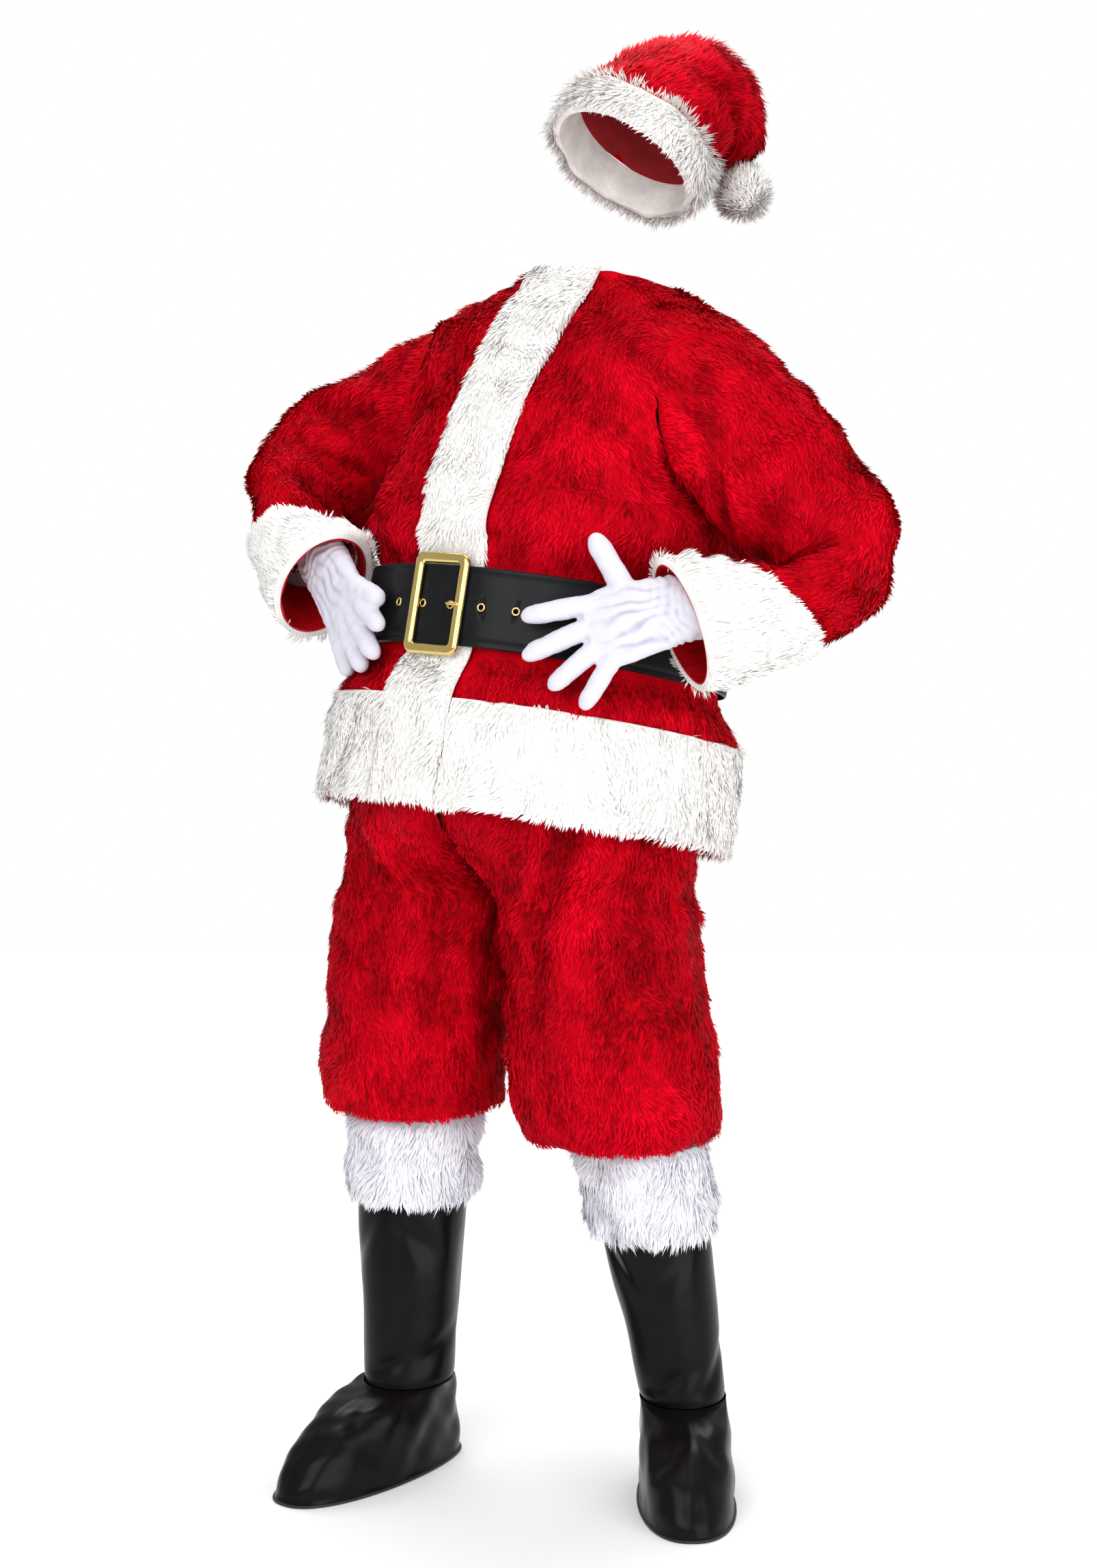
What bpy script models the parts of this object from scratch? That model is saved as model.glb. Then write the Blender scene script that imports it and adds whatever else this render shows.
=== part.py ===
"""A plush suit in red and white, hollow and posed as it is worn.

The pieces are a jacket, a belt, trousers, a hat, two gloves and two boot covers. Every panel is a wall
between an outer grid of points and the same grid moved inwards by the cloth's thickness. Left and right
are the wearer's. Points are worked out in a standing frame, whose Z is the height above the soles, X is
across and -Y is ahead of the toes of the left foot. The finished pieces hang on an empty that puts the
suit's origin at the centre of the neck opening.
"""
import math
from collections import namedtuple

import bmesh
import bpy
import numpy as np

# --- Cloth, metres -------------------------------------------------------------------------------
GAP = 0.0003            # between neighbouring pieces
RED_PLUSH = 0.008       # backing and pile together
WHITE_PLUSH = 0.012
BOOT_FUR = 0.018
SATIN = 0.0015
VINYL = 0.0018
GLOVE_KNIT = 0.0014

# --- Stance --------------------------------------------------------------------------------------
TURN = math.radians(38)         # the wearer's front is turned from -Y towards -X
LEAN = math.radians(14)         # the jacket leans back on the hips
WAIST = (0.008, 0.0, 1.016)       # centre of the belt
HIPS = (-0.030, -0.038)         # centre of the trousers' seat
LEFT, RIGHT = 1, -1

# --- Jacket --------------------------------------------------------------------------------------
# Sections across the jacket, from the hem up to the neck; height is along the leaning axis.
Section = namedtuple("Section", "height half_width front back")
TORSO = [
    Section(-0.232, 0.246, 0.242, 0.224),
    Section(-0.170, 0.243, 0.241, 0.220),
    Section(-0.108, 0.238, 0.238, 0.212),
    Section(-0.082, 0.229, 0.229, 0.198),
    Section(-0.050, 0.214, 0.215, 0.180),
    Section(0.000, 0.214, 0.215, 0.180),
    Section(0.050, 0.214, 0.215, 0.180),
    Section(0.095, 0.229, 0.223, 0.190),
    Section(0.150, 0.235, 0.216, 0.196),
    Section(0.220, 0.238, 0.197, 0.194),
    Section(0.290, 0.240, 0.172, 0.182),
    Section(0.340, 0.238, 0.146, 0.160),
    Section(0.374, 0.226, 0.123, 0.134),
    Section(0.398, 0.184, 0.104, 0.112),
    Section(0.420, 0.136, 0.093, 0.094),
    Section(0.438, 0.092, 0.087, 0.080),
]
HEM_ROW, BAND_ROW, BELT_ROW, NECK_ROW = 0, 2, 5, 15
ARMHOLE_ROW, ARMHOLE_ROWS = 10, 2       # middle section of the armhole, and how many it spans each way
ARMHOLE_SPREAD = math.radians(33)       # half the armhole's width around the chest
TORSO_SQUARENESS = 2.3
FRONT_STRIP = math.radians(12.5)        # half the width of the white front strip, around the belly
STRIP_UNDER_BELT = 0.006                # the strip's pile, pressed flat by the belt
BAND_RISE = 0.006                       # how far the hem band's pile stands out past the red plush

# Soft troughs (negative) and ridges of a surface: where, how long and wide, how steep, how deep.
# `around` and `long` are in degrees around the piece, `up` and `high` in rows of its table.
Fold = namedtuple("Fold", "around up long high slant depth")
TORSO_FOLDS = [
    Fold(70, 8.4, 26, 0.7, -0.035, -0.012),
    Fold(48, 9.3, 24, 0.5, -0.030, -0.008),
    Fold(62, 7.3, 20, 0.5, 0.020, 0.008),
    Fold(30, 7.1, 18, 0.5, -0.010, 0.007),
    Fold(-62, 8.6, 24, 0.6, 0.035, -0.011),
    Fold(-42, 9.6, 22, 0.5, 0.030, -0.007),
    Fold(-50, 7.2, 24, 0.5, -0.015, 0.009),
    Fold(118, 8.8, 24, 0.6, 0.030, -0.010),
    Fold(150, 9.8, 30, 0.6, 0.010, -0.008),
    Fold(180, 7.4, 34, 0.6, 0.000, 0.009),
    Fold(-118, 8.7, 26, 0.6, -0.030, -0.010),
    Fold(-150, 8.2, 26, 0.5, 0.012, 0.008),
    Fold(80, 3.2, 14, 0.9, 0.000, 0.008),
    Fold(-75, 3.0, 14, 0.9, 0.000, 0.008),
    Fold(140, 2.6, 16, 1.4, 0.000, 0.010),
    Fold(-140, 2.8, 18, 1.4, 0.000, 0.009),
]

# Sections along each sleeve in the standing frame, from the armhole to the cuff's mouth.
Ring = namedtuple("Ring", "x y z half_high half_deep")
LEFT_SLEEVE = [
    Ring(0.230, -0.110, 1.262, 0.114, 0.096),
    Ring(0.276, -0.134, 1.212, 0.106, 0.092),
    Ring(0.318, -0.150, 1.154, 0.103, 0.088),
    Ring(0.334, -0.162, 1.106, 0.094, 0.074),
    Ring(0.308, -0.182, 1.080, 0.086, 0.064),
    Ring(0.252, -0.212, 1.069, 0.085, 0.060),
    Ring(0.198, -0.240, 1.061, 0.080, 0.057),
    Ring(0.151, -0.264, 1.055, 0.078, 0.057),
]
RIGHT_SLEEVE = [
    Ring(-0.142, 0.190, 1.262, 0.118, 0.098),
    Ring(-0.204, 0.206, 1.252, 0.104, 0.094),
    Ring(-0.264, 0.204, 1.226, 0.096, 0.088),
    Ring(-0.298, 0.168, 1.188, 0.090, 0.080),
    Ring(-0.304, 0.116, 1.152, 0.080, 0.072),
    Ring(-0.300, 0.068, 1.122, 0.074, 0.066),
    Ring(-0.287, 0.025, 1.102, 0.076, 0.064),
    Ring(-0.273, -0.015, 1.079, 0.078, 0.060),
]
CUFF_START = 5.0                # row where the red sleeve ends and the white cuff starts
CUFF_END = 7.0
CUFF_RISE = 0.007               # the cuff's pile stands out past the sleeve
LINING_DEPTH = 1.5              # rows of red satin that line the cuff
UNDERARM_PLUSH = 0.005          # the sleeve's plush, pressed in the crease under the arm
UNDERARM_ROWS = 1.5
SLEEVE_CLEAR = 0.005            # between the sleeve and the jacket's side, past SLEEVE_CLEAR_ROW
SLEEVE_CLEAR_ROW = 0.6
SOFTNESS = 0.003                # over which a sleeve's surface turns where it rests on the jacket
ARMHOLE_BLEND = 2.6             # rows over which the armhole's outline turns into the sleeve's section
SLEEVE_AIMS = {                 # directions at the armhole and at the cuff
    LEFT: ((0.78, -0.05, -0.62), (-0.88, -0.38, -0.30)),
    RIGHT: ((-0.92, 0.30, -0.22), (0.40, -0.72, -0.56)),
}
SLEEVE_FOLDS = {
    LEFT: [
        Fold(170, 1.6, 60, 0.35, 0.004, -0.011),
        Fold(200, 2.5, 70, 0.35, -0.003, -0.010),
        Fold(20, 3.4, 50, 0.35, 0.004, 0.008),
        Fold(300, 2.2, 50, 0.40, 0.006, -0.012),
        Fold(250, 4.0, 60, 0.35, -0.004, -0.004),
        Fold(60, 2.6, 60, 0.40, 0.003, -0.009),
        Fold(330, 3.3, 50, 0.35, 0.000, -0.005),
    ],
    RIGHT: [
        Fold(150, 1.2, 60, 0.30, 0.008, -0.011),
        Fold(130, 1.9, 60, 0.30, 0.008, -0.011),
        Fold(140, 2.6, 60, 0.30, 0.006, -0.010),
        Fold(100, 3.3, 60, 0.30, 0.004, -0.009),
        Fold(70, 4.1, 50, 0.30, 0.003, -0.008),
        Fold(260, 2.4, 60, 0.35, -0.004, -0.009),
        Fold(230, 3.6, 60, 0.35, 0.000, 0.007),
    ],
}

# --- Belt ----------------------------------------------------------------------------------------
STRAP_HEIGHT = 0.094
STRAP_THICK = 0.0028
STRAP_EASE = math.radians(18)           # over which the strap comes down off the strip
STRAP_CLEAR = 0.0010                    # between the strap and the jacket
STRAP_STEP = 2 * math.pi / 68           # both of its layers bend along the same lines
PRONG_ANGLE = math.radians(4.4)
HOLE_ANGLES = [PRONG_ANGLE + 2 * STRAP_STEP * number for number in (-2, -1, 0, 1, 2)]
# From under the buckle, round the waist to the tip; each hole is halfway between two bends.
STRAP_ANGLES = PRONG_ANGLE + STRAP_STEP * (0.5 + np.arange(68, -12, -1))
HOLE_RADIUS = 0.0029
HOLE_REACH = 0.02                       # how far the holes' cutters stand out of the strap
PRONG_HOLE = 2                          # which hole the prong comes through
GROMMET_RADIUS = 0.0052
GROMMET_RISE = 0.0011
BUCKLE_HEIGHT = 0.121
BUCKLE_WIDTH = 0.080
BUCKLE_BAR = 0.0125
BUCKLE_THICK = 0.0055
BUCKLE_CORNER = 0.012

# --- Trousers ------------------------------------------------------------------------------------
# Rows from the gathered edge below the knee up to the waist. The seat is centred on HIPS and the legs
# are given from there; `across` is towards the wearer's left and `behind` towards the back. `parted`
# is 0 where the row is one ring around the seat and 1 where it is a ring around each leg.
Row = namedtuple("Row", "height parted seat_wide seat_front seat_back across behind inner outer deep")
LEFT_LEG = [
    Row(0.438, 1.0, 0.10, 0.10, 0.10, 0.156, 0.018, 0.070, 0.070, 0.072),
    Row(0.424, 1.0, 0.10, 0.10, 0.10, 0.150, 0.014, 0.098, 0.100, 0.106),
    Row(0.430, 1.0, 0.10, 0.10, 0.10, 0.142, 0.008, 0.112, 0.120, 0.128),
    Row(0.468, 1.0, 0.10, 0.10, 0.10, 0.136, 0.004, 0.121, 0.134, 0.138),
    Row(0.530, 1.0, 0.10, 0.10, 0.10, 0.128, 0.002, 0.120, 0.136, 0.138),
    Row(0.590, 1.0, 0.16, 0.14, 0.14, 0.121, 0.000, 0.117, 0.129, 0.136),
    Row(0.650, 1.0, 0.20, 0.17, 0.17, 0.118, -0.004, 0.115, 0.126, 0.134),
    Row(0.695, 1.0, 0.22, 0.19, 0.19, 0.117, -0.010, 0.114, 0.126, 0.134),
    Row(0.725, 0.84, 0.234, 0.204, 0.204, 0.114, -0.015, 0.110, 0.122, 0.130),
    Row(0.765, 0.42, 0.232, 0.204, 0.202, 0.114, -0.015, 0.110, 0.120, 0.130),
    Row(0.810, 0.12, 0.225, 0.200, 0.192, 0.114, -0.015, 0.110, 0.118, 0.130),
    Row(0.860, 0.0, 0.208, 0.192, 0.178, 0.114, -0.015, 0.110, 0.118, 0.130),
    Row(0.915, 0.0, 0.188, 0.178, 0.158, 0.114, -0.015, 0.110, 0.118, 0.130),
    Row(0.965, 0.0, 0.166, 0.160, 0.140, 0.114, -0.015, 0.110, 0.118, 0.130),
]
RIGHT_LEG = [
    Row(0.455, 1.0, 0.10, 0.10, 0.10, 0.104, -0.080, 0.070, 0.070, 0.070),
    Row(0.442, 1.0, 0.10, 0.10, 0.10, 0.105, -0.080, 0.094, 0.094, 0.098),
    Row(0.446, 1.0, 0.10, 0.10, 0.10, 0.106, -0.078, 0.104, 0.108, 0.112),
    Row(0.475, 1.0, 0.10, 0.10, 0.10, 0.107, -0.074, 0.104, 0.122, 0.120),
    Row(0.530, 1.0, 0.10, 0.10, 0.10, 0.108, -0.068, 0.104, 0.130, 0.124),
    Row(0.590, 1.0, 0.16, 0.14, 0.14, 0.110, -0.058, 0.106, 0.132, 0.126),
    Row(0.650, 1.0, 0.20, 0.17, 0.17, 0.111, -0.044, 0.107, 0.132, 0.128),
    Row(0.695, 1.0, 0.22, 0.19, 0.19, 0.112, -0.028, 0.108, 0.128, 0.130),
    *LEFT_LEG[8:],
]
TROUSER_FOLDS = {
    LEFT: [
        Fold(70, 8.0, 12, 3.4, 0.0, -0.016),
        Fold(40, 7.0, 12, 2.6, 0.0, -0.009),
        Fold(110, 5.0, 14, 2.8, 0.0, 0.010),
        Fold(150, 6.4, 14, 2.6, 0.0, -0.010),
        Fold(205, 5.4, 14, 2.6, 0.0, -0.010),
        Fold(250, 7.0, 14, 3.0, 0.0, -0.012),
        Fold(300, 5.5, 14, 2.6, 0.0, -0.010),
    ],
    RIGHT: [
        Fold(40, 6.8, 12, 2.6, 0.0, -0.009),
        Fold(85, 7.8, 14, 3.0, 0.0, -0.010),
        Fold(140, 4.6, 30, 0.7, 0.004, -0.010),
        Fold(120, 6.1, 34, 0.6, -0.004, -0.008),
        Fold(215, 5.4, 14, 2.6, 0.0, -0.010),
        Fold(255, 7.2, 14, 3.0, 0.0, -0.012),
        Fold(310, 5.2, 14, 2.6, 0.0, -0.010),
    ],
}
GATHERS = 4                     # large gathers around each leg's elastic edge
GATHER_DEPTH = 0.004
GATHERED_ROW = 2.6              # the plush is pressed thinner from here down to the edge
GATHERED_PLUSH = 0.004
CROTCH_ROW = 7                  # highest row that is a ring around each leg

# --- Boot covers ---------------------------------------------------------------------------------
Boot = namedtuple("Boot", "side ankle top aim fur_bottom fur_top")
BOOTS = [
    Boot(LEFT, (0.163, -0.150), (0.110, -0.116), math.radians(1), 0.312, 0.416),
    Boot(RIGHT, (-0.172, -0.082), (-0.166, -0.030), math.radians(-41), 0.336, 0.434),
]
Shaft = namedtuple("Shaft", "height half_width half_depth")
SHAFT = [
    Shaft(0.106, 0.053, 0.060),
    Shaft(0.150, 0.056, 0.061),
    Shaft(0.230, 0.063, 0.066),
    Shaft(0.310, 0.067, 0.069),
    Shaft(0.380, 0.067, 0.069),
    Shaft(0.428, 0.066, 0.068),
]
ANKLE_HEIGHT, BOOT_TOP = SHAFT[0].height, SHAFT[-1].height
SOLE_THICK = 0.004
FOOT_AHEAD, FOOT_BEHIND = 0.218, 0.078      # toe and heel from the ankle's centre
FOOT_HALF_WIDTH = 0.062
SOLE_LIP = 0.003
BOOT_COLUMNS = 18

# --- Hat -----------------------------------------------------------------------------------------
# Rings from the brim to the crown's tip. It rises square to the brim, folds over about a line past its
# side and hangs; `rise` is before the fold, `swing` its degrees, `hang` the length after it.
Crown = namedtuple("Crown", "rise swing hang radius")
HAT = [
    Crown(0.000, 0, 0.000, 0.093),
    Crown(0.026, 0, 0.000, 0.091),
    Crown(0.052, 4, 0.000, 0.085),
    Crown(0.058, 30, 0.000, 0.070),
    Crown(0.058, 62, 0.000, 0.056),
    Crown(0.058, 96, 0.000, 0.040),
    Crown(0.058, 128, 0.002, 0.030),
    Crown(0.058, 132, 0.012, 0.022),
]
HAT_CENTRE = (0.116, 0.130, 1.626)      # of the brim's upper edge
HAT_UP = (0.512, 0.461, 0.757)
HAT_HANG = (0.180, -0.020, -0.980)      # the way the tip hangs
HAT_FOLD = 0.098                        # from the crown's middle to the line that it folds about
CROWN_PLUSH = 0.006
BRIM_HEIGHT = 0.050
BRIM_OUT = 0.016
BRIM_PROFILE = [                        # shares of BRIM_OUT and of BRIM_HEIGHT, downwards
    (0.35, 0.0),
    (0.85, 0.12),
    (1.1, 0.5),
    (0.85, 0.88),
    (0.35, 1.0),
]
BRIM_INSIDE = 0.004                     # the brim's inner face, inside the crown's surface
POMPOM_CORE = 0.0300
POMPOM_REACH = 0.0365

# --- Gloves --------------------------------------------------------------------------------------
# `along` runs from the wrist to the fingertips, `across` to the thumb's side, `bend` towards the palm.
Finger = namedtuple("Finger", "along across length angle radius bend")
Palm = namedtuple("Palm", "along across half_wide half_thick")
PALM = [
    Palm(-0.036, -0.007, 0.035, 0.026),
    Palm(-0.010, 0.000, 0.040, 0.026),
    Palm(0.030, 0.002, 0.044, 0.021),
    Palm(0.068, 0.002, 0.047, 0.017),
    Palm(0.096, 0.000, 0.041, 0.012),
]
LEFT_FINGERS = [
    Finger(0.040, 0.030, 0.100, 76, 0.0145, 0.000),
    Finger(0.086, 0.034, 0.096, 7, 0.0128, 0.006),
    Finger(0.088, 0.010, 0.106, -7, 0.0130, 0.007),
    Finger(0.086, -0.013, 0.094, -24, 0.0125, 0.006),
    Finger(0.078, -0.034, 0.082, -42, 0.0118, 0.004),
]
RIGHT_FINGERS = [
    Finger(0.052, 0.028, 0.096, 26, 0.0145, 0.010),
    Finger(0.084, 0.034, 0.086, 8, 0.0130, 0.006),
    Finger(0.088, 0.011, 0.098, 1, 0.0132, 0.005),
    Finger(0.086, -0.012, 0.090, -5, 0.0128, 0.003),
    Finger(0.078, -0.034, 0.076, -13, 0.0120, 0.002),
]
FINGER_ROOT = 0.020             # how far each finger starts inside the palm
FINGER_EASE = 0.004             # room past each fingertip, and at the wrist's mouth
Glove = namedtuple("Glove", "side wrist aim palm_side fingers")
GLOVES = [
    Glove(LEFT, (0.138, -0.272, 1.071), (-0.953, 0.040, -0.290), (-0.08, 0.95, -0.26), LEFT_FINGERS),
    Glove(RIGHT, (-0.268, -0.012, 1.098), (0.33, -0.72, -0.61), (0.74, 0.66, 0.08), RIGHT_FINGERS),
]

# --- Colours (sRGB-linear), roughness, metallic ---------------------------------------------------
RED = ((0.42, 0.004, 0.010), 0.85, 0.0)
WHITE = ((0.82, 0.80, 0.76), 0.90, 0.0)
SATIN_RED = ((0.50, 0.008, 0.012), 0.35, 0.0)
BLACK_VINYL = ((0.012, 0.012, 0.013), 0.35, 0.0)
SOLE_BLACK = ((0.008, 0.008, 0.008), 0.60, 0.0)
GOLD = ((0.78, 0.55, 0.18), 0.15, 1.0)
GLOVE_WHITE = ((0.80, 0.79, 0.84), 0.80, 0.0)


# --- Working out points --------------------------------------------------------------------------
def through(table, at):
    """Values of a table's columns on smooth curves through its rows, at row positions `at`."""
    rows = np.array(table, dtype=float)
    at = np.clip(np.asarray(at, dtype=float), 0, len(rows) - 1)
    slopes = np.gradient(rows, axis=0)
    low = np.minimum(at.astype(int), len(rows) - 2)
    t = (at - low)[..., None]
    start = (1 + 2 * t) * (1 - t) ** 2 * rows[low] + t * (1 - t) ** 2 * slopes[low]
    end = t * t * (3 - 2 * t) * rows[low + 1] + t * t * (t - 1) * slopes[low + 1]
    return start + end


def columns_of(table, at):
    """The columns of `through`, each as its own array."""
    return np.moveaxis(through(table, at), -1, 0)


def unit(vectors):
    """Vectors scaled to length 1."""
    vectors = np.asarray(vectors, dtype=float)
    return vectors / np.maximum(np.linalg.norm(vectors, axis=-1, keepdims=True), 1e-12)


def square_to(vectors, axis):
    """The parts of vectors square to an axis, scaled to length 1."""
    return unit(vectors - (vectors @ axis)[..., None] * axis)


def swung(start, end, share):
    """A direction that swings evenly from one to another as `share` goes from 0 to 1."""
    start, end = unit(start), unit(end)
    whole = math.acos(float(np.clip(start @ end, -1, 1)))
    square = unit(end - start * (start @ end))
    angle = whole * np.asarray(share, dtype=float)[..., None]
    return start * np.cos(angle) + square * np.sin(angle)


def normals(surface, around, row):
    """Outward normals of a surface(around, row), from small steps along both of its parameters."""
    step = 0.01
    across = surface(around + step, row) - surface(around - step, row)
    upward = surface(around, row + step) - surface(around, row - step)
    return unit(np.cross(across, upward))


def fold_height(folds, degrees, row):
    """Sum of the folds' soft ridges and troughs at places given in degrees around and rows up."""
    height = np.zeros(np.broadcast(degrees, row).shape)
    for fold in folds:
        around = (degrees - fold.around + 180) % 360 - 180
        up = row - fold.up - fold.slant * around
        height += fold.depth * np.exp(-(around / fold.long) ** 2 - (up / fold.high) ** 2)
    return height


def turned(points):
    """Points given across to the left, behind and up, turned to the stance."""
    across, behind, up = np.moveaxis(np.asarray(points, dtype=float), -1, 0)
    x = across * math.cos(TURN) + behind * math.sin(TURN)
    y = -across * math.sin(TURN) + behind * math.cos(TURN)
    return np.stack([x, y, up], -1)


def turned_back(points):
    """The reverse of `turned`."""
    x, y, up = np.moveaxis(np.asarray(points, dtype=float), -1, 0)
    across = x * math.cos(TURN) - y * math.sin(TURN)
    behind = x * math.sin(TURN) + y * math.cos(TURN)
    return np.stack([across, behind, up], -1)


def leaning(points):
    """Points of the jacket's own upright frame, leaned back, turned and set on the waist."""
    across, behind, up = np.moveaxis(np.asarray(points, dtype=float), -1, 0)
    tipped_behind = behind * math.cos(LEAN) + up * math.sin(LEAN)
    tipped_up = up * math.cos(LEAN) - behind * math.sin(LEAN)
    return turned(np.stack([across, tipped_behind, tipped_up], -1)) + WAIST


def belly_radius(angle, row):
    """Distance of the jacket's section from its axis, at an angle from the front."""
    _, wide, front, back = columns_of(TORSO, row)
    deep = np.where(np.cos(angle) > 0, front, back)
    power = TORSO_SQUARENESS
    return (np.abs(np.sin(angle) / wide) ** power + np.abs(np.cos(angle) / deep) ** power) ** (-1 / power)


def torso_radius(angle, row):
    """Distance of the jacket's outer surface from its axis, with its folds."""
    beside_belt = np.clip(np.abs(row - BELT_ROW) - 1, 0, 1)
    return belly_radius(angle, row) + fold_height(TORSO_FOLDS, np.degrees(angle), row) * beside_belt


def torso(angle, row):
    """The jacket's outer surface."""
    angle, row = np.broadcast_arrays(np.asarray(angle, float), np.asarray(row, float))
    radius = torso_radius(angle, row)
    height = through(TORSO, row)[..., 0]
    return leaning(np.stack([radius * np.sin(angle), -radius * np.cos(angle), height], -1))


def off_torso(points, clear):
    """Points moved straight out from the jacket's axis, softly, until they are `clear` of it."""
    upright = turned_back(np.asarray(points, float) - WAIST)
    across = upright[..., 0]
    behind = upright[..., 1] * math.cos(LEAN) - upright[..., 2] * math.sin(LEAN)
    up = upright[..., 2] * math.cos(LEAN) + upright[..., 1] * math.sin(LEAN)
    rows = np.linspace(0, NECK_ROW, 10 * NECK_ROW + 1)
    row = np.interp(up, through(TORSO, rows)[:, 0], rows)
    angle = np.arctan2(across, -behind)
    short = torso_radius(angle, row) + clear - np.hypot(across, behind)
    push = SOFTNESS * np.logaddexp(0, short / SOFTNESS)
    moved = np.stack([across + push * np.sin(angle), behind - push * np.cos(angle), up], -1)
    return leaning(moved)


def armhole(side, turn):
    """The armhole's outline; turn runs from the underarm, counter-clockwise about the arm."""
    angle = side * math.pi / 2 + ARMHOLE_SPREAD * np.sin(turn)
    row = ARMHOLE_ROW - ARMHOLE_ROWS * np.cos(turn)
    return angle, row


def sleeve(side, turn, row, rise=0.0):
    """A sleeve's outer surface, from the armhole's outline to an oval section at the cuff."""
    table = LEFT_SLEEVE if side == LEFT else RIGHT_SLEEVE
    start, end = SLEEVE_AIMS[side]
    turn, row = np.broadcast_arrays(np.asarray(turn, float), np.asarray(row, float))

    def ring(at):
        x, y, z, high, deep = columns_of(table, at)
        aim = swung(start, end, np.clip(at / CUFF_END, 0, 1))
        upward = np.broadcast_to([0.0, 0.0, 1.0], aim.shape)
        upward = unit(upward - aim * np.sum(upward * aim, -1, keepdims=True))
        level = np.cross(aim, upward)
        folds = fold_height(SLEEVE_FOLDS[side], np.degrees(turn), at)
        folds = folds * np.clip(at, 0, 1) * np.clip(CUFF_START - at, 0, 1)
        high = (high + rise + folds)[..., None]
        deep = (deep + rise + folds)[..., None]
        centre = np.stack([x, y, z], -1)
        return centre - upward * high * np.cos(turn)[..., None] - level * deep * np.sin(turn)[..., None]

    share = np.clip(1 - row / ARMHOLE_BLEND, 0, 1)
    share = (share * share * (3 - 2 * share))[..., None]
    seam = torso(*armhole(side, turn))
    free = ring(row) + share * (seam - ring(np.zeros_like(row)))
    away = np.clip(row / SLEEVE_CLEAR_ROW, 0, 1)[..., None]
    return free + away * (off_torso(free, SLEEVE_CLEAR) - free)


def trouser(side, angle, row):
    """One half of the trousers; angle runs from the front's centre or inseam, 0 to 360 degrees."""
    table = LEFT_LEG if side == LEFT else RIGHT_LEG
    angle, row = np.broadcast_arrays(np.asarray(angle, float), np.asarray(row, float))
    height, parted, wide, front, back, across, behind, inner, outer, deep = columns_of(table, row)
    parted = np.clip(parted, 0, 1)
    folds = fold_height(TROUSER_FOLDS[side], np.degrees(angle), row)
    edge = np.clip(1 - np.abs(row - 1.2) / 2.4, 0, 1)
    folds = folds - GATHER_DEPTH * edge * np.cos(GATHERS * angle)
    seat = -math.pi / 2 + angle / 2
    seat_deep = np.where(np.sin(seat) < 0, front, back) + folds
    seat_across = (wide + folds) * np.cos(seat)
    seat_behind = seat_deep * np.sin(seat)
    leg = math.pi + angle
    leg_across = across + (np.where(np.cos(leg) < 0, inner, outer) + folds) * np.cos(leg)
    leg_behind = behind + (deep + folds) * np.sin(leg)
    x = seat_across * (1 - parted) + leg_across * parted
    y = seat_behind * (1 - parted) + leg_behind * parted
    middle = np.where(row > CROTCH_ROW + 0.5, (across - inner) * parted, 0)
    x = x - middle * (1 - np.abs(np.sin(angle / 2))) ** 2
    hips = np.array([HIPS[0], HIPS[1], 0.0])
    return turned(np.stack([side * x, y, height], -1)) + hips


# --- Making solids -------------------------------------------------------------------------------
def make_object(name, vertices, faces, finish):
    """A closed mesh object with its own material, hung on the suit's empty."""
    mesh = bpy.data.meshes.new(name)
    mesh.from_pydata([tuple(map(float, vertex)) for vertex in vertices], [], faces)
    body = bmesh.new()
    body.from_mesh(mesh)
    bmesh.ops.triangulate(body, faces=body.faces, quad_method="FIXED")
    bmesh.ops.recalc_face_normals(body, faces=body.faces)
    body.to_mesh(mesh)
    body.free()
    mesh.shade_smooth()
    mesh.set_sharp_from_angle(angle=math.radians(50))
    colour, roughness, metallic = finish
    material = bpy.data.materials.new(name)
    material.use_nodes = True
    shader = material.node_tree.nodes["Principled BSDF"]
    shader.inputs["Base Color"].default_value = (*colour, 1.0)
    shader.inputs["Roughness"].default_value = roughness
    shader.inputs["Metallic"].default_value = metallic
    mesh.materials.append(material)
    made = bpy.data.objects.new(name, mesh)
    bpy.context.scene.collection.objects.link(made)
    made.parent = bpy.data.objects["suit_origin"]
    return made


def wall(name, outer, inner, finish, loop=False, tip=False):
    """A closed wall between two grids of rows and columns; `loop` joins its columns into a tube.

    With `tip`, both grids' last rings are closed by fans of faces around their centres.
    """
    rows, cols = outer.shape[:2]
    spans = cols if loop else cols - 1
    skin = rows * cols
    vertices = [*outer.reshape(-1, 3), *inner.reshape(-1, 3)]
    faces = []
    for row in range(rows - 1):
        for col in range(spans):
            after = (col + 1) % cols
            quad = [row * cols + col, row * cols + after, (row + 1) * cols + after, (row + 1) * cols + col]
            faces.append(quad)
            faces.append([quad[0] + skin, quad[3] + skin, quad[2] + skin, quad[1] + skin])
    for row in (0,) if tip else (0, rows - 1):
        for col in range(spans):
            here, after = row * cols + col, row * cols + (col + 1) % cols
            faces.append([here, here + skin, after + skin, after])
    if not loop:
        for col in (0, cols - 1):
            for row in range(rows - 1):
                here, above = row * cols + col, (row + 1) * cols + col
                faces.append([here, above, above + skin, here + skin])
    if tip:
        for grid, first in ((outer, 0), (inner, skin)):
            centre = len(vertices)
            vertices.append(grid[-1].mean(axis=0))
            ring = first + (rows - 1) * cols
            for col in range(spans):
                faces.append([ring + col, ring + (col + 1) % cols, centre])
    return make_object(name, vertices, faces, finish)


def shifted(outer, inner, col, inwards, distance):
    """Moves one edge column of both grids towards the neighbouring column by a distance."""
    along = unit(outer[:, col + inwards] - outer[:, col]) * distance
    outer[:, col] += along
    inner[:, col] += along


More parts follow.
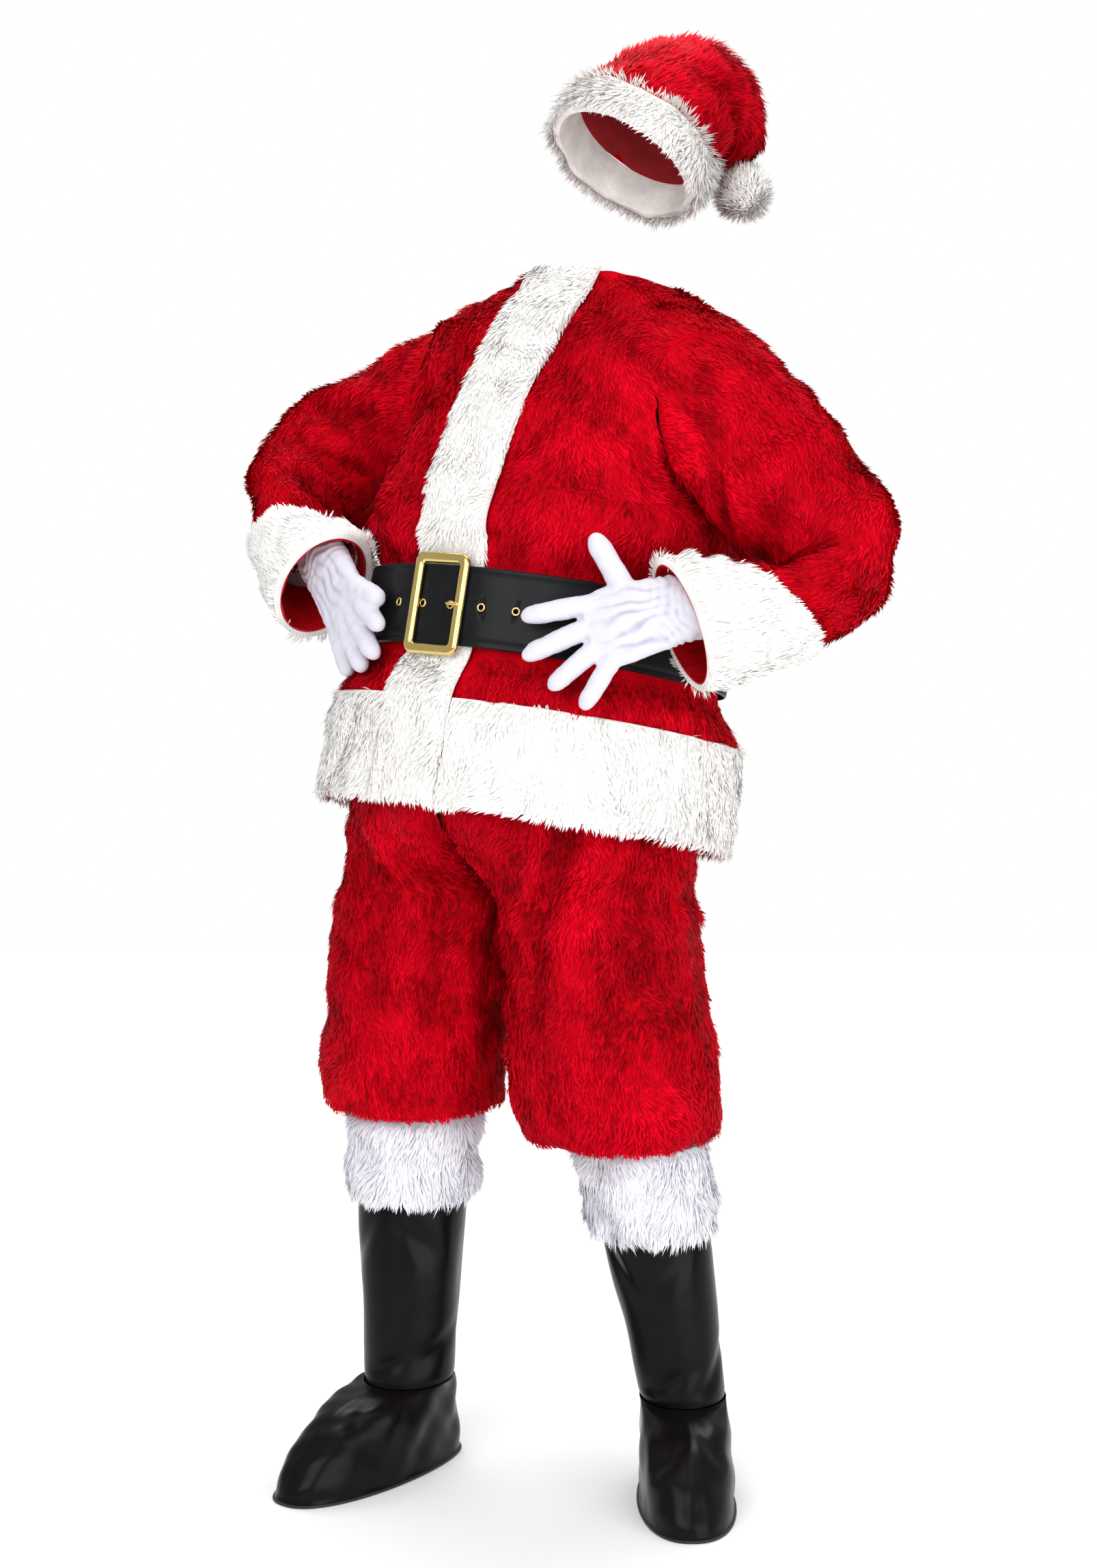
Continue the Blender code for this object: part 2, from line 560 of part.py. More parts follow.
def arm_seam_normals(side, turn, of_sleeve):
    """Directions of the walls' edges around the armhole, for the sleeve or for the jacket.

    They're mitred over the shoulder; in the crease under the arm each wall keeps its own normals.
    """
    body = normals(torso, *armhole(side, turn))
    arm = normals(lambda a, r: sleeve(side, a, r), turn, np.full_like(turn, 0.05))
    mitred = np.clip((np.sum(body * arm, -1, keepdims=True) + 0.2) / 0.6, 0, 1)
    own, other = (arm, body) if of_sleeve else (body, arm)
    return unit(own + mitred * other)


# --- Jacket --------------------------------------------------------------------------------------
ARM_STEPS = 8           # rows of the fronts and back within the armhole, half the sleeve's columns
LOWER_ROWS = [BAND_ROW, 3.0, 4.0, 5.0, 6.0, 6.6, 7.2]     # two lie along the belt's edges
UPPER_STEPS = 3
ARM_ROWS = slice(len(LOWER_ROWS), len(LOWER_ROWS) + ARM_STEPS + 1)


def jacket_rows():
    """Rows of the red panels: from the band up to the underarm, along the armhole, up to the neck."""
    last = ARMHOLE_ROW + ARMHOLE_ROWS
    middle = ARMHOLE_ROW - ARMHOLE_ROWS * np.cos(np.linspace(0, math.pi, ARM_STEPS + 1))
    upper = np.linspace(last, NECK_ROW, UPPER_STEPS + 1)
    return np.concatenate([LOWER_ROWS, middle, upper[1:]])


def strip_half(rows):
    """Half the front strip's angle at each row, for an even width."""
    return FRONT_STRIP * through(TORSO, BELT_ROW)[2] / through(TORSO, rows)[:, 2]


def armhole_edge(rows, side, towards):
    """Angles of a panel's side edge: the side seam, and the armhole's outline where it is cut out."""
    edge = np.full(len(rows), side * math.pi / 2)
    turns = np.linspace(0, math.pi, ARM_STEPS + 1)
    edge[ARM_ROWS] += towards * ARMHOLE_SPREAD * np.sin(turns)
    return edge


def jacket_panel(name, angles, rows, armholes):
    """A red panel on a grid of angles and rows; armholes lists its cut edges.

    Each cut edge is (column, side, towards), with `towards` -1 where the panel's angle grows into it.
    """
    grid_rows = np.broadcast_to(rows[:, None], angles.shape)
    outer = torso(angles, grid_rows)
    inward = normals(torso, angles, grid_rows)
    for column, side, towards in armholes:
        turns = np.linspace(0, math.pi, ARM_STEPS + 1) * towards
        inward[ARM_ROWS, column] = arm_seam_normals(side, turns, False)
    inner = outer - inward * RED_PLUSH
    shifted(outer, inner, 0, 1, GAP / 2)
    shifted(outer, inner, angles.shape[1] - 1, -1, GAP / 2)
    return wall(name, outer, inner, RED)


def build_jacket_body():
    """The two fronts and the back, which meet at the side seams, shoulders and front centre."""
    rows = jacket_rows()
    strip = strip_half(rows)
    share = np.linspace(0, 1, 7)
    edge = armhole_edge(rows, LEFT, -1)
    front = strip[:, None] * (1 - share) + edge[:, None] * share
    front = np.concatenate([np.zeros((len(rows), 1)), front], axis=1)
    jacket_panel("jacket_front_left", front, rows, [(7, LEFT, -1)])
    jacket_panel("jacket_front_right", -front[:, ::-1], rows, [(0, RIGHT, 1)])
    share = np.linspace(0, 1, 12)
    start = armhole_edge(rows, LEFT, 1)
    end = armhole_edge(rows, RIGHT, -1) + 2 * math.pi
    back = start[:, None] * (1 - share) + end[:, None] * share
    jacket_panel("jacket_back", back, rows, [(0, LEFT, 1), (11, RIGHT, -1)])


def build_sleeve(side, word):
    """A red sleeve, its white cuff and the satin that lines the cuff."""
    surface = lambda a, r: sleeve(side, a, r)
    start, end = SLEEVE_AIMS[side]
    turns = np.linspace(0, 2 * math.pi, 2 * ARM_STEPS, endpoint=False)
    seam_aim = swung(start, end, CUFF_START / CUFF_END)
    cuff_seam = square_to(normals(surface, turns, np.full_like(turns, CUFF_START + 0.02)), seam_aim)

    rows = np.array([0, 0.6, 1.2, 1.8, 2.3, 2.8, 3.3, 3.8, 4.4, CUFF_START])
    grid = np.broadcast_arrays(turns[None, :], rows[:, None])
    outer = surface(*grid)
    inward = normals(surface, *grid)
    inward[0] = arm_seam_normals(side, turns, True)
    inward[-1] = cuff_seam
    pressed = np.exp(-(grid[1] / UNDERARM_ROWS) ** 2) * (0.5 + 0.5 * np.cos(grid[0]))
    inner = outer - inward * (RED_PLUSH - (RED_PLUSH - UNDERARM_PLUSH) * pressed)[..., None]
    seam_step = unit(outer[1] - outer[0]) * 3 * GAP
    outer[0] += seam_step
    inner[0] += seam_step
    outer[-1] -= seam_aim * 2 * GAP
    inner[-1] -= seam_aim * 2 * GAP
    wall("sleeve_" + word, outer, inner, RED, loop=True)

    rows = np.array([CUFF_START, 5.3, 6.0, 6.7, CUFF_END])
    rise = np.array([0.35, 0.95, 1.0, 0.9, 0.5])[:, None] * CUFF_RISE
    grid = np.broadcast_arrays(turns[None, :], rows[:, None])
    plain = surface(*grid)
    inward = normals(surface, grid[0], np.minimum(grid[1], CUFF_END - 0.02))
    inward[0] = cuff_seam
    inward[-1] = square_to(inward[-1], unit(end))
    wall("cuff_" + word, plain + inward * rise[..., None], plain - inward * (WHITE_PLUSH - CUFF_RISE),
         WHITE, loop=True)

    keep = rows >= CUFF_END - LINING_DEPTH
    lining = plain[keep] - inward[keep] * (WHITE_PLUSH - CUFF_RISE + 2 * GAP)
    wall("cuff_lining_" + word, lining, lining - inward[keep] * SATIN, SATIN_RED, loop=True)


def build_front_strip():
    """The white strip down the front, pressed flat where the belt crosses it."""
    rows = np.concatenate([HEM_ROWS[:-1], jacket_rows()])
    angles = strip_half(rows)[:, None] * np.array([-1.0, 0.0, 1.0])
    grid_rows = np.broadcast_to(rows[:, None], angles.shape)
    under_belt = np.clip(2.6 - np.abs(rows - BELT_ROW), 0, 1)[:, None]
    thick = WHITE_PLUSH * (1 - under_belt) + STRIP_UNDER_BELT * under_belt
    base = torso(angles, grid_rows)
    out = normals(torso, angles, grid_rows)
    thick = thick * np.array([0.80, 1.0, 0.80])
    wall("front_strip", base + out * thick[..., None], base + out * 2 * GAP, WHITE)


HEM_ROWS = np.array([HEM_ROW, 0.25, 1.6, BAND_ROW - 0.01])


def build_hem_band():
    """The white band around the hem, in three pieces cut at the side seams."""
    rows = HEM_ROWS
    rise = np.array([0.3, 1.0, 1.0, 0.45]) * BAND_RISE
    strip = strip_half(rows) + 0.0035
    quarter = math.pi / 2
    pieces = (
        ("hem_band_left", strip, np.full_like(strip, quarter), 7),
        ("hem_band_right", np.full_like(strip, -quarter), -strip, 7),
        ("hem_band_back", np.full_like(strip, quarter), np.full_like(strip, 3 * quarter), 12),
    )
    for name, start, end, spans in pieces:
        share = np.linspace(0, 1, spans + 1)
        angles = start[:, None] * (1 - share) + end[:, None] * share
        grid_rows = np.broadcast_to(rows[:, None], angles.shape)
        out = normals(torso, angles, grid_rows)
        base = torso(angles, grid_rows)
        outer = base + out * rise[:, None, None]
        inner = base - out * (WHITE_PLUSH - BAND_RISE)
        shifted(outer, inner, 0, 1, GAP / 2)
        shifted(outer, inner, spans, -1, GAP / 2)
        wall(name, outer, inner, WHITE)


# --- Belt ----------------------------------------------------------------------------------------
def strap_line(angle, out):
    """The belt's line around the waist: it lies over itself in front, on the white strip."""
    wrapped = (angle + math.pi) % (2 * math.pi) - math.pi
    over_strip = np.clip(1 - (np.abs(wrapped) - FRONT_STRIP) / STRAP_EASE, 0, 1)
    over_strip = over_strip * over_strip * (3 - 2 * over_strip)
    lap = (STRAP_THICK + 2 * GAP) * np.clip((math.pi - angle) / (2 * math.pi) + 0.5, 0, 1.5)
    row = np.full_like(wrapped, BELT_ROW)
    radius = belly_radius(wrapped, row) + STRAP_CLEAR + STRIP_UNDER_BELT * over_strip + lap + out
    return np.stack([radius * np.sin(wrapped), -radius * np.cos(wrapped)], -1)


def strap_point(angle, out=0.0, up=0.0):
    """A point on the belt, `out` from its inner face and `up` from its middle."""
    line = strap_line(np.asarray(angle, float), out)
    return leaning(np.concatenate([line, np.full((*line.shape[:-1], 1), up)], -1))


def build_belt():
    """The strap, which laps over itself, with round holes; grommets lie on its outer face."""
    angles = STRAP_ANGLES
    half = STRAP_HEIGHT / 2
    tip = np.clip((angles - angles[-1]) / math.radians(9), 0, 1)
    reach = half * np.sqrt(np.clip(1 - (1 - tip) ** 2, 0.10, 1))
    outer = np.stack([strap_point(angles, STRAP_THICK)] * 2, 0)
    inner = np.stack([strap_point(angles, 0.0)] * 2, 0)
    upward = leaning([0, 0, 1.0]) - leaning([0, 0, 0.0])
    for row, sign in ((0, -1), (1, 1)):
        outer[row] += sign * reach[:, None] * upward
        inner[row] += sign * reach[:, None] * upward
    strap = wall("belt_strap", outer, inner, BLACK_VINYL)
    for number, angle in enumerate(HOLE_ANGLES):
        bends = np.array([angle - STRAP_STEP / 2, angle + STRAP_STEP / 2])
        line = strap_point(bends, STRAP_THICK)
        outward = unit(np.cross(line[1] - line[0], upward))
        seat = line.mean(axis=0)
        start = seat - outward * (STRAP_THICK + GAP)
        cutter = disc("hole_cutter_%d" % number, start, seat + outward * HOLE_REACH, HOLE_RADIUS)
        cut(strap, cutter)
        seat = seat + outward * 2 * GAP
        collar("grommet_%d" % (number + 1), seat, outward, GROMMET_RADIUS, HOLE_RADIUS)


def frame_about(axis):
    """Two directions square to an axis."""
    side = unit(np.cross(axis, [0.0, 0.0, 1.0] if abs(axis[2]) < 0.9 else [1.0, 0.0, 0.0]))
    return side, np.cross(axis, side)


def circle(centre, axis, radius, count):
    """Points of a circle, counter-clockwise about its axis."""
    side, across = frame_about(axis)
    turn = np.linspace(0, 2 * math.pi, count, endpoint=False)[:, None]
    return centre + radius * (np.cos(turn) * side + np.sin(turn) * across)


def solid_loft(name, rings, finish):
    """A closed solid through rings of points, with flat ends."""
    rings = np.asarray(rings)
    rows, cols = rings.shape[:2]
    faces = [list(range(cols)), list(range((rows - 1) * cols, rows * cols))]
    for row in range(rows - 1):
        for col in range(cols):
            after = (col + 1) % cols
            faces.append([row * cols + col, row * cols + after, (row + 1) * cols + after,
                          (row + 1) * cols + col])
    return make_object(name, rings.reshape(-1, 3), faces, finish)


def disc(name, start, end, radius, count=12):
    """A round cutter between two points."""
    axis = unit(end - start)
    made = solid_loft(name, [circle(start, axis, radius, count), circle(end, axis, radius, count)], RED)
    return as_cutter(made)


def as_cutter(made):
    """Marks an object as a helper that isn't part of the suit."""
    made.hide_render = True
    made.display_type = "WIRE"
    return made


def cut(target, cutter, operation="DIFFERENCE", overlapping=False):
    """Adds an exact Boolean to a target."""
    boolean = target.modifiers.new(cutter.name, "BOOLEAN")
    boolean.operation = operation
    boolean.solver = "EXACT"
    boolean.use_self = overlapping
    boolean.object = cutter


def collar(name, seat, outward, radius, bore):
    """A grommet: a flat brass ring with a rounded face."""
    profile = [(radius, 0.0), (radius * 0.86, GROMMET_RISE), (bore * 1.1, GROMMET_RISE), (bore, 0.0)]
    rings = [circle(seat + outward * rise, outward, reach, 12) for reach, rise in profile]
    grid = np.array(rings)
    return wall(name, grid[:2], grid[:1:-1], GOLD, loop=True)


def rounded_outline(half_wide, half_high, corner, count=4):
    """Corner arcs of a rounded rectangle, counter-clockwise."""
    points = []
    for quadrant in range(4):
        sign_x = 1 if quadrant in (0, 3) else -1
        sign_z = 1 if quadrant in (0, 1) else -1
        for turn in np.linspace(quadrant, quadrant + 1, count) * math.pi / 2:
            points.append((sign_x * (half_wide - corner) + corner * math.cos(turn),
                           sign_z * (half_high - corner) + corner * math.sin(turn)))
    return np.array(points)


def build_buckle():
    """The buckle's rounded frame in front of the strap, and the prong that rests on its left bar."""
    front = strap_line(np.array([0.0]), STRAP_THICK)[0][1] - GROMMET_RISE - 4 * GAP
    bulge = [(0.0, 0.0), (0.12, 0.7), (0.35, 1.0), (0.65, 1.0), (0.88, 0.7), (1.0, 0.0)]
    rings = []
    for inward, rise in bulge:
        step = inward * BUCKLE_BAR
        outline = rounded_outline(BUCKLE_WIDTH / 2 - step, BUCKLE_HEIGHT / 2 - step,
                                  max(BUCKLE_CORNER - step * 0.6, 0.004))
        depth = np.full(len(outline), front - rise * BUCKLE_THICK)
        rings.append(leaning(np.stack([outline[:, 0], depth, outline[:, 1]], -1)))
    grid = np.array(rings)
    cols = grid.shape[1]
    vertices = grid.reshape(-1, 3)
    faces = []
    for row in range(len(grid)):
        below = (row + 1) % len(grid)
        for col in range(cols):
            after = (col + 1) % cols
            faces.append([row * cols + col, row * cols + after, below * cols + after, below * cols + col])
    make_object("buckle_frame", vertices, faces, GOLD)

    hole = strap_line(np.array([HOLE_ANGLES[PRONG_HOLE]]), STRAP_THICK)[0]
    bar = BUCKLE_WIDTH / 2 - BUCKLE_BAR
    top = front - BUCKLE_THICK - 0.0025
    route = [
        (hole[0], hole[1] - 0.0006),
        (hole[0] + 0.001, (hole[1] + top) / 2 - 0.001),
        (hole[0] + 0.004, top),
        (bar + 0.003, top),
        (bar + 0.008, top + 0.0004),
    ]
    radii = [0.0018, 0.0021, 0.0021, 0.0021, 0.0015]
    line = leaning([(x, y, 0.0) for x, y in route])
    rings = [circle(point, unit(line[min(i + 1, 4)] - line[max(i - 1, 0)]), radii[i], 8)
             for i, point in enumerate(line)]
    solid_loft("buckle_prong", rings, GOLD)


# --- Trousers ------------------------------------------------------------------------------------
def build_trousers():
    """Two fronts and two backs, which meet at the side seams, inseams and centre."""
    rows = np.array([0, 1.6, 2.6, 3.6, 4.8, 6, 7, 8, 9, 10, 11, 13])
    spans = 8
    for side, word in ((LEFT, "left"), (RIGHT, "right")):
        surface = lambda a, r, s=side: trouser(s, a, r)
        for name, start, end in (("front", 0.0, math.pi), ("back", math.pi, 2 * math.pi)):
            angles, grid_rows = np.broadcast_arrays(np.linspace(start, end, spans + 1)[None, :],
                                                    rows[:, None])
            outer = surface(angles, grid_rows)
            inward = normals(surface, angles, grid_rows) * side
            centre = 0 if name == "front" else spans
            level = turned([1.0, 0.0, 0.0])
            joined = rows > CROTCH_ROW
            kept = inward[joined, centre]
            inward[joined, centre] = unit(kept - level * (kept @ level)[:, None])
            thick = np.interp(rows, [0, GATHERED_ROW], [GATHERED_PLUSH, RED_PLUSH])
            inner = outer - inward * thick[:, None, None]
            shifted(outer, inner, 0, 1, GAP / 2)
            shifted(outer, inner, spans, -1, GAP / 2)
            wall("trouser_%s_%s" % (name, word), outer, inner, RED)


# --- Boot covers ---------------------------------------------------------------------------------
def boot_frame(boot):
    """Directions ahead of the foot and to its left, level with the floor."""
    ahead = np.array([math.sin(boot.aim), -math.cos(boot.aim), 0.0])
    left = np.array([math.cos(boot.aim), math.sin(boot.aim), 0.0])
    return ahead, left


def boot_ring(boot, turn, height, out=0.0):
    """A ring of the boot's shaft at a height; turn 0 is ahead, and it runs counter-clockwise."""
    ahead, left = boot_frame(boot)
    heights = [row.height for row in SHAFT]
    wide, deep = columns_of(SHAFT, np.interp(height, heights, range(len(SHAFT))))[1:]
    share = (height - ANKLE_HEIGHT) / (BOOT_TOP - ANKLE_HEIGHT)
    x = boot.ankle[0] + (boot.top[0] - boot.ankle[0]) * share
    y = boot.ankle[1] + (boot.top[1] - boot.ankle[1]) * share
    centre = np.stack(np.broadcast_arrays(x, y, height), -1)
    return (centre + ((wide + out) * np.sin(turn))[..., None] * left
            + ((deep + out) * np.cos(turn))[..., None] * ahead)


def sole_outline(boot, turn, out=0.0):
    """The sole's edge: an oval that is wider across the ball than at the heel."""
    ahead, left = boot_frame(boot)
    middle = (FOOT_AHEAD - FOOT_BEHIND) / 2
    half = (FOOT_AHEAD + FOOT_BEHIND) / 2
    along = middle + (half + out) * np.cos(turn)
    wide = FOOT_HALF_WIDTH * (0.90 + 0.10 * np.cos(turn)) + out
    across = wide * np.sign(np.sin(turn)) * np.abs(np.sin(turn)) ** 0.85
    base = np.array([boot.ankle[0], boot.ankle[1], 0.0])
    return base + along[..., None] * ahead + across[..., None] * left


def build_boot(boot, word):
    """Fur top, shaft, foot and bound sole of one boot cover."""
    turns = np.linspace(0, 2 * math.pi, BOOT_COLUMNS, endpoint=False)
    heights = np.array([ANKLE_HEIGHT + 2 * GAP, 0.120, 0.165, 0.250, 0.340, boot.fur_top])
    grid = np.broadcast_arrays(turns[None, :], heights[:, None])
    wall("boot_shaft_" + word, boot_ring(boot, *grid), boot_ring(boot, *grid, -VINYL), BLACK_VINYL,
         loop=True)

    middle = (boot.fur_bottom + boot.fur_top) / 2
    heights = np.array([boot.fur_bottom, boot.fur_bottom + 0.012, middle, boot.fur_top])
    out = np.array([0.7, 1.0, 1.15, 0.85])[:, None] * BOOT_FUR
    grid = np.broadcast_arrays(turns[None, :], heights[:, None])
    wall("boot_fur_" + word, boot_ring(boot, *grid, out), boot_ring(boot, *grid, 2 * GAP), WHITE, loop=True)

    rise = np.array([1.0, 0.80, 0.56, 0.32, 0.12, 0.0])[:, None] * math.pi / 2
    rise = math.pi / 2 - rise
    ankle = boot_ring(boot, turns[None, :], np.full((1, BOOT_COLUMNS), ANKLE_HEIGHT))
    edge = sole_outline(boot, turns[None, :])
    floor = SOLE_THICK + GAP
    foot = ankle + (edge - ankle) * np.sin(rise)[..., None]
    foot[..., 2] = floor + (ANKLE_HEIGHT - floor) * np.cos(rise) ** 1.2
    across = np.roll(foot, -1, 1) - np.roll(foot, 1, 1)
    inward = unit(np.cross(across, -np.gradient(foot, axis=0)))
    inward[0, :, 2] = 0
    inward[-1, :, 2] = 0
    inner = foot - unit(inward) * VINYL
    wall("boot_foot_" + word, foot, inner, BLACK_VINYL, loop=True)

    lower = sole_outline(boot, turns, SOLE_LIP)
    upper = lower + np.array([0, 0, SOLE_THICK])
    solid_loft("boot_sole_" + word, [lower, upper], SOLE_BLACK)


# --- Hat -----------------------------------------------------------------------------------------
def hat_axes():
    """The hat's directions: up through the crown, towards the fold, and along the fold's line."""
    up = unit(HAT_UP)
    hang = unit(HAT_HANG)
    towards = unit(hang - up * (hang @ up))
    return up, towards, np.cross(up, towards)


def crown(turn, row, out=0.0):
    """The crown's outer surface: rings that rise, swing over about the fold's line, then hang."""
    turn, row = np.broadcast_arrays(np.asarray(turn, float), np.asarray(row, float))
    rise, swing, hang, radius = columns_of(HAT, row)
    up, towards, line = hat_axes()
    swing = np.radians(np.clip(swing, 0, HAT[-1].swing))[..., None]
    aim = up * np.cos(swing) + towards * np.sin(swing)
    reach = up * np.sin(swing) - towards * np.cos(swing)
    pivot = np.array(HAT_CENTRE) + towards * HAT_FOLD + up * rise[..., None]
    from_pivot = radius + (HAT_FOLD - HAT[0].radius) + 0.004 * np.clip(row - 2, 0, 1)
    centre = pivot + reach * from_pivot[..., None] + aim * hang[..., None]
    size = (radius + out)[..., None]
    return centre + line * size * np.sin(turn)[..., None] + reach * size * np.cos(turn)[..., None]


def build_hat():
    """The red crown, the fur brim around its edge and the pompom on its tip."""
    turns = np.linspace(0, 2 * math.pi, 16, endpoint=False)
    rows = np.array([0, 1.0, 2.0, 2.5, 3.0, 3.5, 4.0, 4.5, 5.0, 6.0, 7.0])
    grid = np.broadcast_arrays(turns[None, :], rows[:, None])
    inner_rows = np.minimum(grid[1], rows[-1] - 0.5)
    wall("hat_crown", crown(*grid), crown(grid[0], inner_rows, -CROWN_PLUSH), RED, loop=True, tip=True)

    up = hat_axes()[0]
    tip = crown(turns, np.full_like(turns, len(HAT) - 1.0)).mean(axis=0)
    pompom = tip + unit(HAT_HANG) * (POMPOM_REACH + 2 * GAP)
    base_row = np.zeros_like(turns)
    base = crown(turns, base_row) - up * 2 * GAP
    radial = unit(crown(turns, base_row, 0.01) - crown(turns, base_row))
    outer = np.array([base + radial * BRIM_OUT * out - up * BRIM_HEIGHT * down for out, down in BRIM_PROFILE])
    inner = np.array([base - radial * BRIM_INSIDE - up * BRIM_HEIGHT * down for out, down in BRIM_PROFILE])
    wall("hat_brim", outer, inner, WHITE, loop=True)

    mesh = bmesh.new()
    bmesh.ops.create_icosphere(mesh, subdivisions=2, radius=POMPOM_CORE)
    bmesh.ops.inset_individual(mesh, faces=mesh.faces[:], thickness=0.0014)
    small = sorted(mesh.faces, key=lambda face: face.calc_area())[-80:]
    bmesh.ops.poke(mesh, faces=small, offset=POMPOM_REACH - POMPOM_CORE)
    mesh.verts.ensure_lookup_table()
    vertices = [np.array(vert.co) + pompom for vert in mesh.verts]
    faces = [[vert.index for vert in face.verts] for face in mesh.faces]
    mesh.free()
    make_object("hat_pompom", vertices, faces, WHITE)


# --- Gloves --------------------------------------------------------------------------------------
def glove_shapes(glove, shrink):
    """Rings of the palm and of each finger, `shrink` smaller than the glove's outside."""
    along = unit(glove.aim)
    palm_side = np.asarray(glove.palm_side, float)
    palm_side = unit(palm_side - along * (palm_side @ along))
    thumb_side = np.cross(palm_side, along) * glove.side
    if thumb_side[2] < 0:
        thumb_side = -thumb_side
    wrist = np.array(glove.wrist)
    turn = np.linspace(0, 2 * math.pi, 10, endpoint=False)[:, None]
    palm = []
    for number, row in enumerate(PALM):
        end = 0.0
        if number == 0:
            end = -FINGER_EASE if shrink else 0.0
        if number == len(PALM) - 1:
            end = -shrink
        centre = wrist + along * (row.along + end) + thumb_side * row.across
        palm.append(centre + (row.half_wide - shrink) * np.cos(turn) * thumb_side
                    + (row.half_thick - shrink) * np.sin(turn) * palm_side)
    shapes = [np.array(palm)]
    for finger in glove.fingers:
        angle = math.radians(finger.angle)
        aim = along * math.cos(angle) + thumb_side * math.sin(angle)
        start = wrist + along * finger.along + thumb_side * finger.across - aim * FINGER_ROOT
        length = finger.length + FINGER_EASE - shrink
        rings = []
        for share, scale in ((0.0, 1.0), (0.5, 1.0), (0.88, 0.86), (1.0, 0.40)):
            bend = finger.bend * (share * share - 0.1)
            centre = start + aim * length * share + palm_side * bend
            direction = unit(aim * length + palm_side * 2 * share * finger.bend)
            rings.append(circle(centre, direction, (finger.radius - shrink) * scale, 7))
        shapes.append(np.array(rings))
    return shapes


def joined_lofts(name, shapes, finish):
    """One mesh of several closed lofts, which overlap."""
    vertices, faces = [], []
    for rings in shapes:
        rows, cols = rings.shape[:2]
        base = len(vertices)
        vertices.extend(rings.reshape(-1, 3))
        faces.append([base + col for col in range(cols)])
        faces.append([base + (rows - 1) * cols + col for col in range(cols)])
        for row in range(rows - 1):
            for col in range(cols):
                after = (col + 1) % cols
                faces.append([base + row * cols + col, base + row * cols + after,
                              base + (row + 1) * cols + after, base + (row + 1) * cols + col])
    return make_object(name, vertices, faces, finish)


def build_glove(glove, word):
    """A hollow glove: palm and fingers joined, less the same shape smaller by the knit."""
    outside = glove_shapes(glove, 0.0)
    body = joined_lofts("glove_" + word, outside[:1], GLOVE_WHITE)
    for number, rings in enumerate(outside[1:]):
        finger = as_cutter(joined_lofts("finger_%s_%d" % (word, number), [rings], GLOVE_WHITE))
        cut(body, finger, "UNION")
    inside = glove_shapes(glove, GLOVE_KNIT)
    hollow = as_cutter(joined_lofts("hollow_%s" % word, inside[:1], GLOVE_WHITE))
    for number, rings in enumerate(inside[1:]):
        finger = as_cutter(joined_lofts("finger_hollow_%s_%d" % (word, number), [rings], GLOVE_WHITE))
        cut(hollow, finger, "UNION")
    cut(body, hollow)


def main():
    """Builds the whole suit."""
    for leftover in list(bpy.data.objects):
        bpy.data.objects.remove(leftover, do_unlink=True)
    origin = bpy.data.objects.new("suit_origin", None)
    bpy.context.scene.collection.objects.link(origin)
    neck = leaning([0.0, 0.0, TORSO[NECK_ROW].height])
    origin.location = tuple(-float(value) for value in neck)
    build_jacket_body()
    build_sleeve(LEFT, "left")
    build_sleeve(RIGHT, "right")
    build_front_strip()
    build_hem_band()
    build_belt()
    build_buckle()
    build_trousers()
    for boot in BOOTS:
        build_boot(boot, "left" if boot.side == LEFT else "right")
    build_hat()
    for glove in GLOVES:
        build_glove(glove, "left" if glove.side == LEFT else "right")


main()
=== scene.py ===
"""Dresses a hollow plush suit: pile on its panels, satin, vinyl, knit and brass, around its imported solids.

Left and right are the wearer's. Shapes are worked out in a standing frame, whose Z is the height above
the soles, X is across and -Y is ahead of the toes of the left foot, and are then moved so that the centre
of the neck opening is the origin.
"""
import logging
import math
from dataclasses import dataclass
from enum import Enum
from typing import NamedTuple, Optional, Sequence

import bmesh
import bpy
import numpy as np
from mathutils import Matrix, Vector


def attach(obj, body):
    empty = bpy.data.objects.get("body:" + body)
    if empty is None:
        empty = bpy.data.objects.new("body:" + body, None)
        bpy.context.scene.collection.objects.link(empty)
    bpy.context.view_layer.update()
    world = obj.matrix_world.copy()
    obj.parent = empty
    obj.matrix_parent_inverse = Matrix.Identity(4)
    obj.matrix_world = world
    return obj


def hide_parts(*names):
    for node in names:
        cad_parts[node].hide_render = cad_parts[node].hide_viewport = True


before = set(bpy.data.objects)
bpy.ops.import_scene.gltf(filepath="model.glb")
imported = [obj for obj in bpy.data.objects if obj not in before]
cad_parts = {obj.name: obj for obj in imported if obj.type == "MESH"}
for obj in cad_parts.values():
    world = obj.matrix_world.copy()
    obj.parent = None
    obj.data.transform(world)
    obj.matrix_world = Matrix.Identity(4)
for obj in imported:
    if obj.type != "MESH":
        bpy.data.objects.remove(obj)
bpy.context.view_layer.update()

LOG = logging.getLogger("suit")
GAP = 0.0003                    # left between neighbouring pieces at a seam
Array = np.ndarray
Thing = bpy.types.Object
Triple = tuple[float, float, float]


class Side(Enum):
    """The wearer's left or right."""

    LEFT = 1
    RIGHT = -1

    @property
    def word(self) -> str:
        """The side's name in lower case."""
        return self.name.lower()


class Nap(Enum):
    """Which way the pile lies along a grid's rows."""

    UP_ROWS = 1
    DOWN_ROWS = -1


def table(kind: type, *rows: Sequence[float]) -> tuple:
    """Rows of numbers as a tuple of one kind of named row."""
    return tuple(kind(*row) for row in rows)


